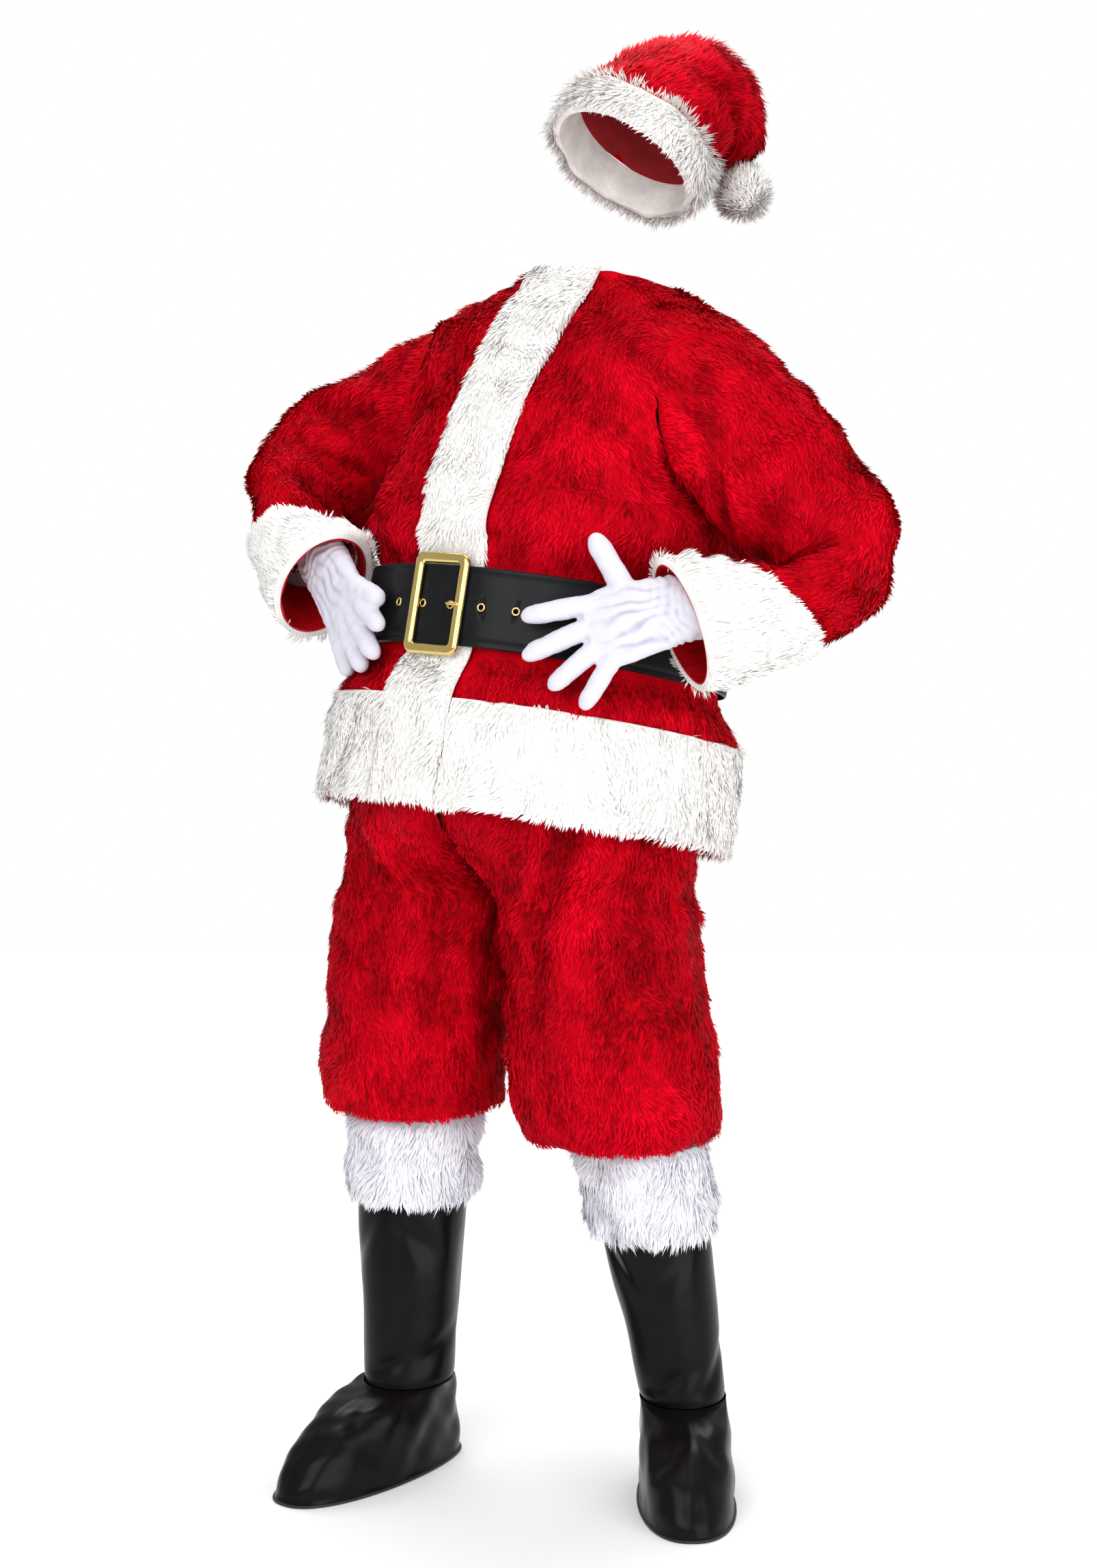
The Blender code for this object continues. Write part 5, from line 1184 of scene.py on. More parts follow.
# --- Belt ----------------------------------------------------------------------------------------
@dataclass
class Belt:
    """The strap that laps over itself, its grommets, and the buckle with its prong."""

    jacket: Jacket
    height: float = 0.094
    thick: float = 0.0028
    step: float = 2 * math.pi / 68
    prong_angle: float = math.radians(4.4)
    strap_ease: float = math.radians(18)
    strip_press: float = 0.006
    clear: float = 0.0010
    strap_start: float = 68.5       # steps from the prong to the strap's hidden end
    strap_end: float = 10.5         # and to its tip
    tip_angle: float = 0.17         # the part of the tip whose rows stand closer
    tip_round: float = math.radians(9)
    hole: float = 0.0029
    punch: float = 0.96             # the punch's share of a hole's radius
    grommet: float = 0.0052
    grommet_rise: float = 0.0011
    buckle_high: float = 0.121
    buckle_wide: float = 0.080
    buckle_bar: float = 0.0125
    buckle_thick: float = 0.0055
    buckle_corner: float = 0.012

    def line(self, angle: Array, out: Array) -> Array:
        """The belt's line around the waist, which lies over itself in front on the white strip."""
        wrapped = (angle + math.pi) % (2 * math.pi) - math.pi
        over_strip = ease(1 - (np.abs(wrapped) - self.jacket.strip_half_angle) / self.strap_ease)
        lap = (self.thick + 2 * GAP) * np.clip((math.pi - angle) / (2 * math.pi) + 0.5, 0, 1.5)
        row = np.full_like(wrapped, self.jacket.belt_row)
        radius = self.jacket.belly_radius(wrapped, row) + self.clear
        radius = radius + self.strip_press * over_strip + lap + out
        return np.stack([radius * np.sin(wrapped), -radius * np.cos(wrapped)], -1)

    def point(self, angle: Array, out: Array, up: Array) -> Array:
        """Points on the belt, `out` from its inner face and `up` from its middle."""
        angle, out, up = np.broadcast_arrays(np.asarray(angle, float), out, up)
        line = self.line(angle, out)
        return STANCE.leaning(np.concatenate([line, up[..., None]], -1))

    def hole_angles(self) -> list[float]:
        """Angles of the five holes, the middle one under the prong."""
        return [self.prong_angle + 2 * self.step * number for number in (-2, -1, 0, 1, 2)]

    def build_strap(self) -> None:
        """The strap: a thin section with rounded edges and a pressed line along each, and its holes."""
        first = self.prong_angle + self.step * self.strap_start
        last = self.prong_angle - self.step * self.strap_end
        closer = self.tip_angle * (1 - np.linspace(0, 1, 30)[1:]) ** 1.6
        angles = np.concatenate([np.linspace(first, last + self.tip_angle, 330), last + closer])
        half, thick = self.height / 2, self.thick
        side = np.array([0, 0.0012, 0.0060, 0.0066, 0.0072, 0.0078, 0.0140, 0.030, half]) / half
        rise = np.array([0.45, 0.9, 1.0, 0.86, 0.86, 1.0, 1.0, 1.0, 1.0])
        over = np.concatenate([-(1 - side), (1 - side[::-1])[1:]])
        outer = np.concatenate([rise, rise[::-1][1:]]) * thick
        section_up = np.concatenate([over, over[::-1]])
        section_out = np.concatenate([outer, np.concatenate([[0.1], np.zeros(len(over) - 2), [0.1]]) * thick])
        tip = np.clip((angles - angles[-1]) / self.tip_round, 0, 1)
        reach = half * np.sqrt(np.clip(1 - (1 - tip) ** 2, 0.02, 1))
        grid = self.point(angles[:, None], section_out[None, :], section_up[None, :] * reach[:, None])
        rings = grid[:, ::-1] if points_inward(grid) else grid
        strap = tube("belt_strap_vinyl", rings, [STRAP_VINYL], sharp=40.0)
        cutters = []
        for angle in self.hole_angles():
            seat, outward = self.seat(angle)
            radius = self.hole * self.punch
            ends = [circle(seat + outward * out, outward, radius, 20) for out in (-0.012, 0.02)]
            cutter = tube("punch", np.array(ends), [STRAP_VINYL])
            bpy.context.view_layer.update()
            punch = strap.modifiers.new("punch", "BOOLEAN")
            punch.operation, punch.solver, punch.object = "DIFFERENCE", "EXACT", cutter
            cutters.append(cutter)
        apply_modifiers(strap)
        for cutter in cutters:
            bpy.data.objects.remove(cutter, do_unlink=True)
        stand_for(strap, "belt_strap")
        length = line_length(self.point(angles, 0.001, 0.0))
        LOG.info("belt strap: %.3f m long", length)

    def seat(self, angle: float) -> tuple[Array, Array]:
        """The middle of the strap's face at an angle, and the way out from it."""
        bends = self.point(np.array([angle - 0.02, angle + 0.02]), self.thick, 0.0)
        upward = STANCE.leaning([0, 0, 1.0]) - STANCE.leaning([0, 0, 0.0])
        return bends.mean(0), unit(np.cross(bends[1] - bends[0], upward))

    def rim(self, angle: float, sunk: float, wider: float) -> Array:
        """Rings of an eyelet, each a share of its radius and of its rise, sunk and widened a little."""
        seat, outward = self.seat(angle)
        profile = ((1.0, 0.0), (0.97, 0.55), (0.88, 0.92), (0.76, 1.0), (0.66, 0.85), (0.59, 0.4),
                   (0.56, -0.4), (0.56, -1.8))
        return np.array([circle(seat + outward * (rise * self.grommet_rise - sunk), outward,
                                reach * self.grommet + wider, 32) for reach, rise in profile])

    def build_grommets(self) -> None:
        """Brass eyelets: a rolled rim that turns down into each hole."""
        for number, angle in enumerate(self.hole_angles(), 1):
            node = "grommet_%d" % number
            outer, inner = self.rim(angle, 0.0, 0.0), self.rim(angle, 0.0003, 0.0001)
            stand_for(wall(node + "_brass", outer, inner, True, [GOLD]), node)

    def outline(self, inward: float) -> Array:
        """A rounded rectangle inside the buckle's edge, counter-clockwise from the front."""
        wide, high = self.buckle_wide / 2 - inward, self.buckle_high / 2 - inward
        corner = max(self.buckle_corner - inward * 0.6, 0.004)
        points = []
        for quadrant in range(4):
            turn = np.linspace(quadrant, quadrant + 1, 10) * math.pi / 2
            x = (1 if quadrant in (0, 3) else -1) * (wide - corner) + corner * np.cos(turn)
            z = (1 if quadrant in (0, 1) else -1) * (high - corner) + corner * np.sin(turn)
            points.append(np.stack([x, z], -1))
        return np.concatenate(points)

    def build_buckle(self) -> None:
        """The frame: a half-round section carried round a rounded rectangle; the prong over its bar."""
        front = self.line(np.array([0.0]), self.thick)[0][1] - self.grommet_rise - 4 * GAP
        turn = np.linspace(0, math.pi, 15)
        rings = []
        for angle in turn:
            outline = self.outline(self.buckle_bar * (1 - math.cos(angle)) / 2)
            rise = math.sin(angle) ** 0.7
            depth = np.full(len(outline), front - rise * self.buckle_thick)
            rings.append(STANCE.leaning(np.stack([outline[:, 0], depth, outline[:, 1]], -1)))
        grid = np.array(rings)
        rows, cols = grid.shape[:2]
        first = np.arange(cols)
        second, last = np.roll(first, -1), (rows - 1) * cols
        back = np.stack([first + last, second + last, second, first], -1)
        closed = np.concatenate([quads(rows, cols, True), back])
        made = add_mesh("buckle_frame_brass", grid, closed.tolist(), [GOLD], sharp=60.0)
        face_out(made)
        stand_for(made, "buckle_frame")
        hole = self.line(np.array([self.prong_angle]), self.thick)[0]
        bar = self.buckle_wide / 2 - self.buckle_bar
        top = front - self.buckle_thick - 0.0025
        full, thin = 0.0021, 0.0015
        route = [(hole[0], hole[1] - 0.0006, 0.0018), (hole[0] + 0.001, (hole[1] + top) / 2 - 0.001, full),
                 (hole[0] + 0.004, top, full), (bar + 0.003, top, full), (bar + 0.008, top + 0.0004, thin)]
        x, y, radius = columns_of(route, np.linspace(0, 4, 25))
        line = STANCE.leaning(np.stack([x, y, np.zeros_like(x)], -1))
        aims = np.gradient(line, axis=0)
        rings = np.array([circle(point, aim, size, 16) for point, aim, size in zip(line, aims, radius)])
        prong = tube("buckle_prong_brass", rings, [GOLD])
        face_out(prong)
        stand_for(prong, "buckle_prong")

    def build(self) -> None:
        """Every piece of the belt."""
        self.build_strap()
        self.build_grommets()
        self.build_buckle()


# --- Trousers ------------------------------------------------------------------------------------
class Row(NamedTuple):
    """A row of the trousers: `parted` is 0 in one ring around the seat and 1 in a ring for each leg."""

    height: float
    parted: float
    seat_wide: float
    seat_front: float
    seat_back: float
    across: float
    behind: float
    inner: float
    outer: float
    deep: float


SEAT_ROWS = table(Row,
    (0.725, 0.84, 0.234, 0.204, 0.204, 0.114, -0.015, 0.11, 0.122, 0.13),
    (0.765, 0.42, 0.232, 0.204, 0.202, 0.114, -0.015, 0.11, 0.12, 0.13),
    (0.81, 0.12, 0.225, 0.2, 0.192, 0.114, -0.015, 0.11, 0.118, 0.13),
    (0.86, 0.0, 0.208, 0.192, 0.178, 0.114, -0.015, 0.11, 0.118, 0.13),
    (0.915, 0.0, 0.188, 0.178, 0.158, 0.114, -0.015, 0.11, 0.118, 0.13),
    (0.965, 0.0, 0.166, 0.16, 0.14, 0.114, -0.015, 0.11, 0.118, 0.13))


@dataclass
class Trousers:
    """Full trousers gathered below the knee, in two fronts and two backs."""

    left_rows: tuple[Row, ...] = (*table(Row,
        (0.438, 1.0, 0.1, 0.1, 0.1, 0.156, 0.018, 0.07, 0.07, 0.072),
        (0.424, 1.0, 0.1, 0.1, 0.1, 0.15, 0.014, 0.098, 0.1, 0.106),
        (0.43, 1.0, 0.1, 0.1, 0.1, 0.142, 0.008, 0.112, 0.12, 0.128),
        (0.468, 1.0, 0.1, 0.1, 0.1, 0.136, 0.004, 0.121, 0.134, 0.138),
        (0.53, 1.0, 0.1, 0.1, 0.1, 0.128, 0.002, 0.12, 0.136, 0.138),
        (0.59, 1.0, 0.16, 0.14, 0.14, 0.121, 0.0, 0.117, 0.129, 0.136),
        (0.65, 1.0, 0.2, 0.17, 0.17, 0.118, -0.004, 0.115, 0.126, 0.134),
        (0.695, 1.0, 0.22, 0.19, 0.19, 0.117, -0.01, 0.114, 0.126, 0.134)), *SEAT_ROWS)
    right_rows: tuple[Row, ...] = (*table(Row,
        (0.455, 1.0, 0.1, 0.1, 0.1, 0.104, -0.08, 0.07, 0.07, 0.07),
        (0.442, 1.0, 0.1, 0.1, 0.1, 0.105, -0.08, 0.094, 0.094, 0.098),
        (0.446, 1.0, 0.1, 0.1, 0.1, 0.106, -0.078, 0.104, 0.108, 0.112),
        (0.475, 1.0, 0.1, 0.1, 0.1, 0.107, -0.074, 0.104, 0.122, 0.12),
        (0.53, 1.0, 0.1, 0.1, 0.1, 0.108, -0.068, 0.104, 0.13, 0.124),
        (0.59, 1.0, 0.16, 0.14, 0.14, 0.11, -0.058, 0.106, 0.132, 0.126),
        (0.65, 1.0, 0.2, 0.17, 0.17, 0.111, -0.044, 0.107, 0.132, 0.128),
        (0.695, 1.0, 0.22, 0.19, 0.19, 0.112, -0.028, 0.108, 0.128, 0.13)), *SEAT_ROWS)
    left_folds: tuple[Fold, ...] = table(Fold,
        (66, 8.2, 12, 3.4, 0.0, -0.012), (0, 9.6, 9, 2.6, 0.0, -0.018), (96, 9.0, 11, 2.8, 0.0, -0.017),
        (40, 7.0, 12, 2.6, 0.0, -0.009), (110, 5.0, 14, 2.8, 0.0, 0.01), (150, 6.4, 14, 2.6, 0.0, -0.01),
        (205, 5.4, 14, 2.6, 0.0, -0.01), (250, 7.0, 14, 3.0, 0.0, -0.012), (300, 5.5, 14, 2.6, 0.0, -0.01),
        (60, 2.9, 16, 0.5, 0.03, -0.007), (30, 4.0, 12, 0.8, 0.03, -0.006),
        (95, 3.2, 10, 0.9, -0.02, -0.006), (130, 4.2, 12, 1.2, 0.02, -0.006),
        (20, 9.0, 7, 1.6, 0.0, -0.006), (95, 7.2, 6, 1.8, 0.0, -0.005), (225, 3.2, 12, 0.8, 0.02, -0.006),
        (280, 3.6, 10, 0.9, -0.02, -0.006))
    right_folds: tuple[Fold, ...] = table(Fold,
        (40, 6.8, 12, 2.6, 0.0, -0.011), (0, 9.6, 9, 2.6, 0.0, -0.018), (85, 7.8, 14, 3.0, 0.0, -0.01),
        (140, 4.6, 30, 0.7, 0.004, -0.01), (120, 6.1, 34, 0.6, -0.004, -0.008),
        (215, 5.4, 14, 2.6, 0.0, -0.01), (255, 7.2, 14, 3.0, 0.0, -0.012), (310, 5.2, 14, 2.6, 0.0, -0.01),
        (60, 3.2, 14, 0.5, 0.02, -0.006), (95, 2.7, 14, 0.4, -0.02, -0.006),
        (30, 5.0, 12, 0.7, -0.02, -0.005), (75, 5.2, 20, 0.35, 0.01, -0.005),
        (105, 7.0, 16, 0.35, -0.01, -0.005), (240, 3.4, 12, 0.8, 0.02, -0.006))
    gathers: int = 4
    gather_depth: float = 0.004
    fine_gathers: int = 17
    fine_depth: float = 0.0016
    gathered_row: float = 1.2       # where the gathers are deepest
    gathered_reach: float = 2.4     # rows over which they fade
    plain_row: float = 2.6          # from here up the plush isn't pressed
    crotch_row: int = 7
    waist_row: int = 13
    covered_row: float = 11.2       # the jacket hides the pile from here up
    seam_depth: float = 0.0030
    backing: float = 0.008
    gathered_backing: float = 0.004
    cols: int = 46

    def surface(self, side: Side, angle: Array, row: Array) -> Array:
        """One half of the trousers; angle runs from the front's centre or inseam, 0 to 360 degrees.

        A point is a mix of one on half the seat's oval and one on the leg's oval, by the row's
        `parted`. Past the crotch the centre edge is drawn to the seam.
        """
        left = side is Side.LEFT
        rows, folds = (self.left_rows, self.left_folds) if left else (self.right_rows, self.right_folds)
        angle, row = np.broadcast_arrays(np.asarray(angle, float), np.asarray(row, float))
        height, parted, wide, front, back, across, behind, inner, outer, deep = columns_of(rows, row)
        parted = np.clip(parted, 0, 1)
        swell = fold_height(folds, np.degrees(angle), row)
        edge = np.clip(1 - np.abs(row - self.gathered_row) / self.gathered_reach, 0, 1)
        swell = swell - self.gather_depth * edge * np.cos(self.gathers * angle)
        fine = np.cos(self.fine_gathers * angle + 1.5 * np.sin(3 * angle))
        swell = swell - self.fine_depth * edge ** 2 * fine
        seat = -math.pi / 2 + angle / 2
        seat_deep = np.where(np.sin(seat) < 0, front, back) + swell
        seat_across = (wide + swell) * np.cos(seat)
        seat_behind = seat_deep * np.sin(seat)
        leg = math.pi + angle
        leg_across = across + (np.where(np.cos(leg) < 0, inner, outer) + swell) * np.cos(leg)
        leg_behind = behind + (deep + swell) * np.sin(leg)
        x = seat_across * (1 - parted) + leg_across * parted
        y = seat_behind * (1 - parted) + leg_behind * parted
        past_crotch = ease((row - self.crotch_row) / 1.0)
        x = x - (across - inner) * parted * past_crotch * (1 - np.abs(np.sin(angle / 2))) ** 2
        return STANCE.turned(np.stack([side.value * x, y, height], -1)) + np.array([*STANCE.hips, 0.0])

    def build(self) -> None:
        """Fronts and backs, with no pile where the jacket covers them."""
        rows = np.concatenate([np.linspace(0, 2.4, 14)[:-1], np.linspace(2.4, self.waist_row, 52)])
        covered = np.clip((self.covered_row - rows) / 0.6, 0, 1)
        short = np.interp(rows, [0, 1.4, 3.0], [0.45, 0.6, 1.0])
        weight = (covered * short)[:, None]
        pressed = [0, self.plain_row]
        inside = np.interp(rows, pressed, [self.gathered_backing, self.backing])[:, None]
        outside = np.interp(rows, pressed, [-0.001, -0.0035])[:, None]
        outside = outside - seam_dip(self.cols, self.seam_depth, 1.2)
        seed = 70
        for side in Side:
            for word, start in (("front", 0.0), ("back", math.pi)):
                angles = np.linspace(start, start + math.pi, self.cols)
                grid = self.surface(side, angles[None, :], rows[:, None])
                seed += 1
                sheet_of_plush("trouser_%s_%s" % (word, side.word), grid, False, RED_PILE,
                               [RED_GROUND, RED_BACKING], Nap.DOWN_ROWS, seed, outside, inside,
                               flipped=side is Side.RIGHT, weight=weight)


# --- Boot covers ---------------------------------------------------------------------------------
class Shaft(NamedTuple):
    """A section of a boot's shaft."""

    height: float
    half_width: float
    half_depth: float


@dataclass
class BootCover:
    """One boot cover: fur top, shaft, foot and bound sole."""

    side: Side
    ankle: tuple[float, float]
    top: tuple[float, float]
    aim: float
    fur_bottom: float
    fur_top: float
    creases: tuple[Fold, ...]
    sections: tuple[Shaft, ...] = table(Shaft,
        (0.106, 0.053, 0.06), (0.15, 0.056, 0.061), (0.23, 0.063, 0.066), (0.31, 0.067, 0.069),
        (0.38, 0.067, 0.069), (0.428, 0.066, 0.068))
    ankle_height: float = 0.106
    shaft_top: float = 0.428
    sole_thick: float = 0.004
    sole_lip: float = 0.003
    ahead: float = 0.218
    behind: float = 0.078
    half_width: float = 0.062
    vinyl: float = 0.0018
    inner_share: float = 0.8        # the part of the vinyl's thickness that its wall takes
    fur_rise: float = 0.0105

    def directions(self) -> tuple[Array, Array]:
        """Directions ahead of the foot and to its left, level with the floor."""
        ahead = np.array([math.sin(self.aim), -math.cos(self.aim), 0.0])
        left = np.array([math.cos(self.aim), math.sin(self.aim), 0.0])
        return ahead, left

    def ring(self, turn: Array, height: Array, out: Array) -> Array:
        """The shaft's surface: ovals along a line from the ankle to the top; turn 0 is ahead."""
        ahead, left = self.directions()
        turn, height, out = np.broadcast_arrays(np.asarray(turn, float), np.asarray(height, float), out)
        at = np.interp(height, [section.height for section in self.sections], range(len(self.sections)))
        wide, deep = columns_of(self.sections, at)[1:]
        share = (height - self.ankle_height) / (self.shaft_top - self.ankle_height)
        x = self.ankle[0] + (self.top[0] - self.ankle[0]) * share
        y = self.ankle[1] + (self.top[1] - self.ankle[1]) * share
        centre = np.stack([x, y, height], -1)
        return (centre + ((wide + out) * np.sin(turn))[..., None] * left
                + ((deep + out) * np.cos(turn))[..., None] * ahead)

    def outline(self, turn: Array, out: float = 0.0) -> Array:
        """The sole's edge: an oval that is wider across the ball than at the heel."""
        ahead, left = self.directions()
        along = (self.ahead - self.behind) / 2 + ((self.ahead + self.behind) / 2 + out) * np.cos(turn)
        wide = self.half_width * (0.90 + 0.10 * np.cos(turn)) + out
        across = wide * np.sign(np.sin(turn)) * np.abs(np.sin(turn)) ** 0.85
        base = np.array([self.ankle[0], self.ankle[1], 0.0])
        return base + along[..., None] * ahead + across[..., None] * left

    def creased(self, turn: Array, height: Array) -> Array:
        """Depth of the vinyl's creases; heights are in units of 10 cm."""
        return fold_height(self.creases, np.degrees(turn), height * 10)

    def build_shaft(self) -> None:
        """The vinyl shaft with a seam behind, and a rolled fold where it meets the foot."""
        turns = full_turn(96)[None, :]
        heights = np.concatenate([np.linspace(self.ankle_height + 0.0005, 0.125, 10)[:-1],
                                  np.linspace(0.125, self.fur_top - 0.002, 66)])[:, None]
        roll = 0.0022 * bell(heights - self.ankle_height, 0.006)
        seam = 0.0010 * bell(np.degrees(turns) - 180, 2.5)
        free = np.clip((heights - self.ankle_height) / 0.02, 0, 1)
        out = self.creased(turns, heights) * free - roll * 0.6 + seam - 0.0008
        outer = self.ring(turns, heights, out)
        inner = self.ring(turns, heights, out - self.vinyl * self.inner_share)
        self.vinyl_piece("boot_shaft_" + self.side.word, outer, inner)

    def vinyl_piece(self, node: str, outer: Array, inner: Array) -> None:
        """A vinyl piece between two grids, with the node that it stands for."""
        made = wall(node + "_vinyl", outer, inner, True, [BLACK_VINYL])
        face_out(made)
        stand_for(made, node)

    def build_foot(self) -> None:
        """The foot: a quarter turn from the ankle's oval down to the sole's edge, with a toe seam."""
        turns = full_turn(120)
        drop = np.linspace(0, 1, 56)[:, None] * math.pi / 2
        ankle = self.ring(turns[None, :], np.full((1, len(turns)), self.ankle_height), 0.0)
        edge = self.outline(turns[None, :])
        floor = self.sole_thick + GAP
        foot = ankle + (edge - ankle) * np.sin(drop)[..., None]
        foot[..., 2] = floor + (self.ankle_height - floor) * np.cos(drop) ** 1.2
        out = grid_normals(foot, True)
        out = out * np.where(dot(out, foot - foot.mean((0, 1))).sum() < 0, -1, 1)
        out[0, :, 2] = out[-1, :, 2] = 0
        degrees = (np.degrees(turns) + 180) % 360 - 180
        free = np.sin(2 * drop) ** 0.6
        seam = 0.0012 * bell(degrees, 1.4)[None, :]
        swell = fold_height(self.creases, np.degrees(turns)[None, :], 10 * foot[..., 2]) * 0.7
        ripple = Ripple(0.05, 90 + self.side.value).at(foot) * 0.0014
        bound = 0.0012 * bell(drop - math.pi / 2, 0.05)
        outer = foot + out * (free * (seam + swell + ripple) + bound - 0.0006)[..., None]
        inner = outer - out * self.vinyl * self.inner_share
        self.vinyl_piece("boot_foot_" + self.side.word, outer, inner)

    def build_sole(self) -> None:
        """The sole, with a bound edge that bulges past the vinyl."""
        turns = full_turn(120)
        profile = ((-0.0020, 0.0), (self.sole_lip * 0.7, 0.0004), (self.sole_lip, 0.0018),
                   (self.sole_lip * 0.8, 0.0034), (0.0, self.sole_thick))
        rings = np.array([self.outline(turns, out) + [0, 0, rise] for out, rise in profile])
        made = tube("boot_sole_%s_binding" % self.side.word, rings, [BLACK_SOLE])
        face_out(made)
        stand_for(made, "boot_sole_" + self.side.word)

    def build_fur(self) -> None:
        """The fur top: a rolled band whose long strands hang over the vinyl."""
        turns = full_turn(80)[None, :]
        across = np.linspace(0, 1, 26)[:, None]
        share = (0.5 - 0.5 * np.cos(math.pi * across)) ** 0.85
        heights = self.fur_bottom + (self.fur_top - self.fur_bottom) * share
        surface = self.ring(turns, heights, 0.0008 + 0 * turns)
        flipped = points_inward(surface)
        outside = self.fur_rise * rounded(2 * across - 1, 5)
        sheet_of_plush("boot_fur_" + self.side.word, surface, True, LONG_PILE, [COOL_GROUND, COOL_GROUND],
                       Nap.DOWN_ROWS, 101 + self.side.value, outside, -0.0002, flipped=flipped,
                       uneven=0.0022)

    def build(self) -> None:
        """Every piece of the boot cover."""
        self.build_shaft()
        self.build_foot()
        self.build_sole()
        self.build_fur()


# --- Hat -----------------------------------------------------------------------------------------
class Crown(NamedTuple):
    """A ring of the hat: its rise before the fold, the fold's degrees, its hang and radius."""

    rise: float
    swing: float
    hang: float
    radius: float


@dataclass
class Hat:
    """The hat: a crown that folds over to one side, a fur brim and a pompom on the tip."""

    rings: tuple[Crown, ...] = table(Crown,
        (0.0, 0, 0.0, 0.093), (0.026, 0, 0.0, 0.091), (0.052, 4, 0.0, 0.085), (0.058, 30, 0.0, 0.07),
        (0.058, 62, 0.0, 0.056), (0.058, 96, 0.0, 0.04), (0.058, 128, 0.002, 0.03),
        (0.058, 132, 0.012, 0.022))
    centre: Triple = (0.116, 0.130, 1.626)
    up: Triple = (0.512, 0.461, 0.757)
    hang: Triple = (0.180, -0.020, -0.980)
    fold: float = 0.098
    brim_height: float = 0.050
    brim_out: float = 0.016
    pompom_core: float = 0.0300
    pompom_reach: float = 0.0365
    creases: tuple[Fold, ...] = table(Fold,
        (180, 3.4, 50, 0.3, 0.0, -0.006), (175, 4.2, 50, 0.28, 0.0, -0.0055),
        (185, 5.0, 50, 0.28, 0.0, -0.0045), (235, 2.9, 50, 0.42, -0.01, -0.013),
        (110, 2.2, 40, 0.5, -0.01, -0.0055), (20, 2.6, 30, 0.5, 0.006, -0.004),
        (300, 3.6, 24, 0.9, 0.0, -0.005), (60, 3.9, 24, 0.9, 0.0, -0.0045))

    def axes(self) -> tuple[Array, Array, Array]:
        """Directions up through the crown, towards the fold, and along the fold's line."""
        up, hang = unit(self.up), unit(self.hang)
        towards = unit(hang - up * (hang @ up))
        return up, towards, np.cross(up, towards)

    def crown(self, turn: Array, row: Array, out: Array) -> Array:
        """The crown's surface: rings that rise, swing over about the fold's line, then hang."""
        turn, row, out = np.broadcast_arrays(np.asarray(turn, float), np.asarray(row, float), out)
        rise, swing, hang, radius = columns_of(self.rings, row)
        up, towards, line = self.axes()
        swing = np.radians(np.clip(swing, 0, self.rings[-1].swing))[..., None]
        aim = up * np.cos(swing) + towards * np.sin(swing)
        reach = up * np.sin(swing) - towards * np.cos(swing)
        pivot = np.array(self.centre) + towards * self.fold + up * rise[..., None]
        from_pivot = radius + (self.fold - self.rings[0].radius) + 0.004 * np.clip(row - 2, 0, 1)
        centre = pivot + reach * from_pivot[..., None] + aim * hang[..., None]
        size = (radius + out)[..., None]
        return centre + line * size * np.sin(turn)[..., None] + reach * size * np.cos(turn)[..., None]

    def build_crown(self) -> None:
        """The plush crown, closed at its tip."""
        turns = full_turn(64)[None, :]
        rows = np.linspace(0, 7, 62)[:, None]
        folds = fold_height(self.creases, np.degrees(turns), rows)
        folds = folds * np.clip(rows / 1.2, 0, 1) * np.clip((7 - rows) / 2, 0, 1)
        surface = self.crown(turns, rows, folds)
        flipped = points_inward(surface)
        sheet_of_plush("hat_crown", surface, True, HAT_PILE, [RED_GROUND, RED_BACKING], Nap.UP_ROWS, 111,
                       -0.0025, 0.005, flipped=flipped, capped=True)

    def build_brim(self) -> None:
        """The fur brim: a rounded band around the crown's edge."""
        turns = full_turn(90)[None, :]
        up = self.axes()[0]
        share = np.linspace(0, math.pi, 26)[:, None]
        down = (0.5 - 0.5 * np.cos(share)) * self.brim_height
        base = self.crown(turns, 0.0, 0.0) - up * 2 * GAP
        radial = unit(self.crown(turns, 0.0, 0.01) - self.crown(turns, 0.0, 0.0))
        bulge = self.brim_out * 0.62 * np.sin(share) ** 0.6
        surface = base - up * down[..., None] + radial * bulge[..., None]
        flipped = points_inward(surface)
        out = grid_normals(surface, True) * (-1 if flipped else 1)
        back = base - up * down[..., None] - radial * 0.004
        lumps = Ripple(0.03, 121).at(surface)[..., None] * 0.0012
        made = wall("hat_brim_backing", surface + out * lumps, back, True, [WHITE_GROUND], flipped)
        short = np.where(share < 1.2, 1.0, 1.6 * np.sin(share) - 0.1)
        weight = np.clip(short, 0, 1)
        strands = BRIM_PILE.grow("hat_brim_pile", surface + out * lumps, out, True, Nap.UP_ROWS, 122, weight)
        stand_for(made, "hat_brim")

    def build_pompom(self) -> None:
        """A ball of strands around a soft core."""
        tip = self.crown(full_turn(16), len(self.rings) - 1.0, 0.0).mean(0)
        centre = tip + unit(self.hang) * (self.pompom_reach + 2 * GAP)
        turns = full_turn(48)[None, :]
        rise = np.linspace(-math.pi / 2 + 0.02, math.pi / 2 - 0.02, 26)[:, None]
        level = np.cos(rise)
        aim = np.stack(np.broadcast_arrays(level * np.cos(turns), level * np.sin(turns), np.sin(rise)), -1)
        ball = centre + aim * (self.pompom_core - 0.002)
        core = tube("hat_pompom_core", ball, [WHITE_GROUND], sharp=180.0)
        stand_for(core, "hat_pompom")
        POMPOM_PILE.grow("hat_pompom_pile", ball, aim, True, Nap.UP_ROWS, 131)

    def build(self) -> None:
        """Every piece of the hat."""
        self.build_crown()
        self.build_brim()
        self.build_pompom()


# --- Gloves --------------------------------------------------------------------------------------
class Palm(NamedTuple):
    """A section of the palm, `along` from the wrist."""

    along: float
    across: float
    half_wide: float
    half_thick: float


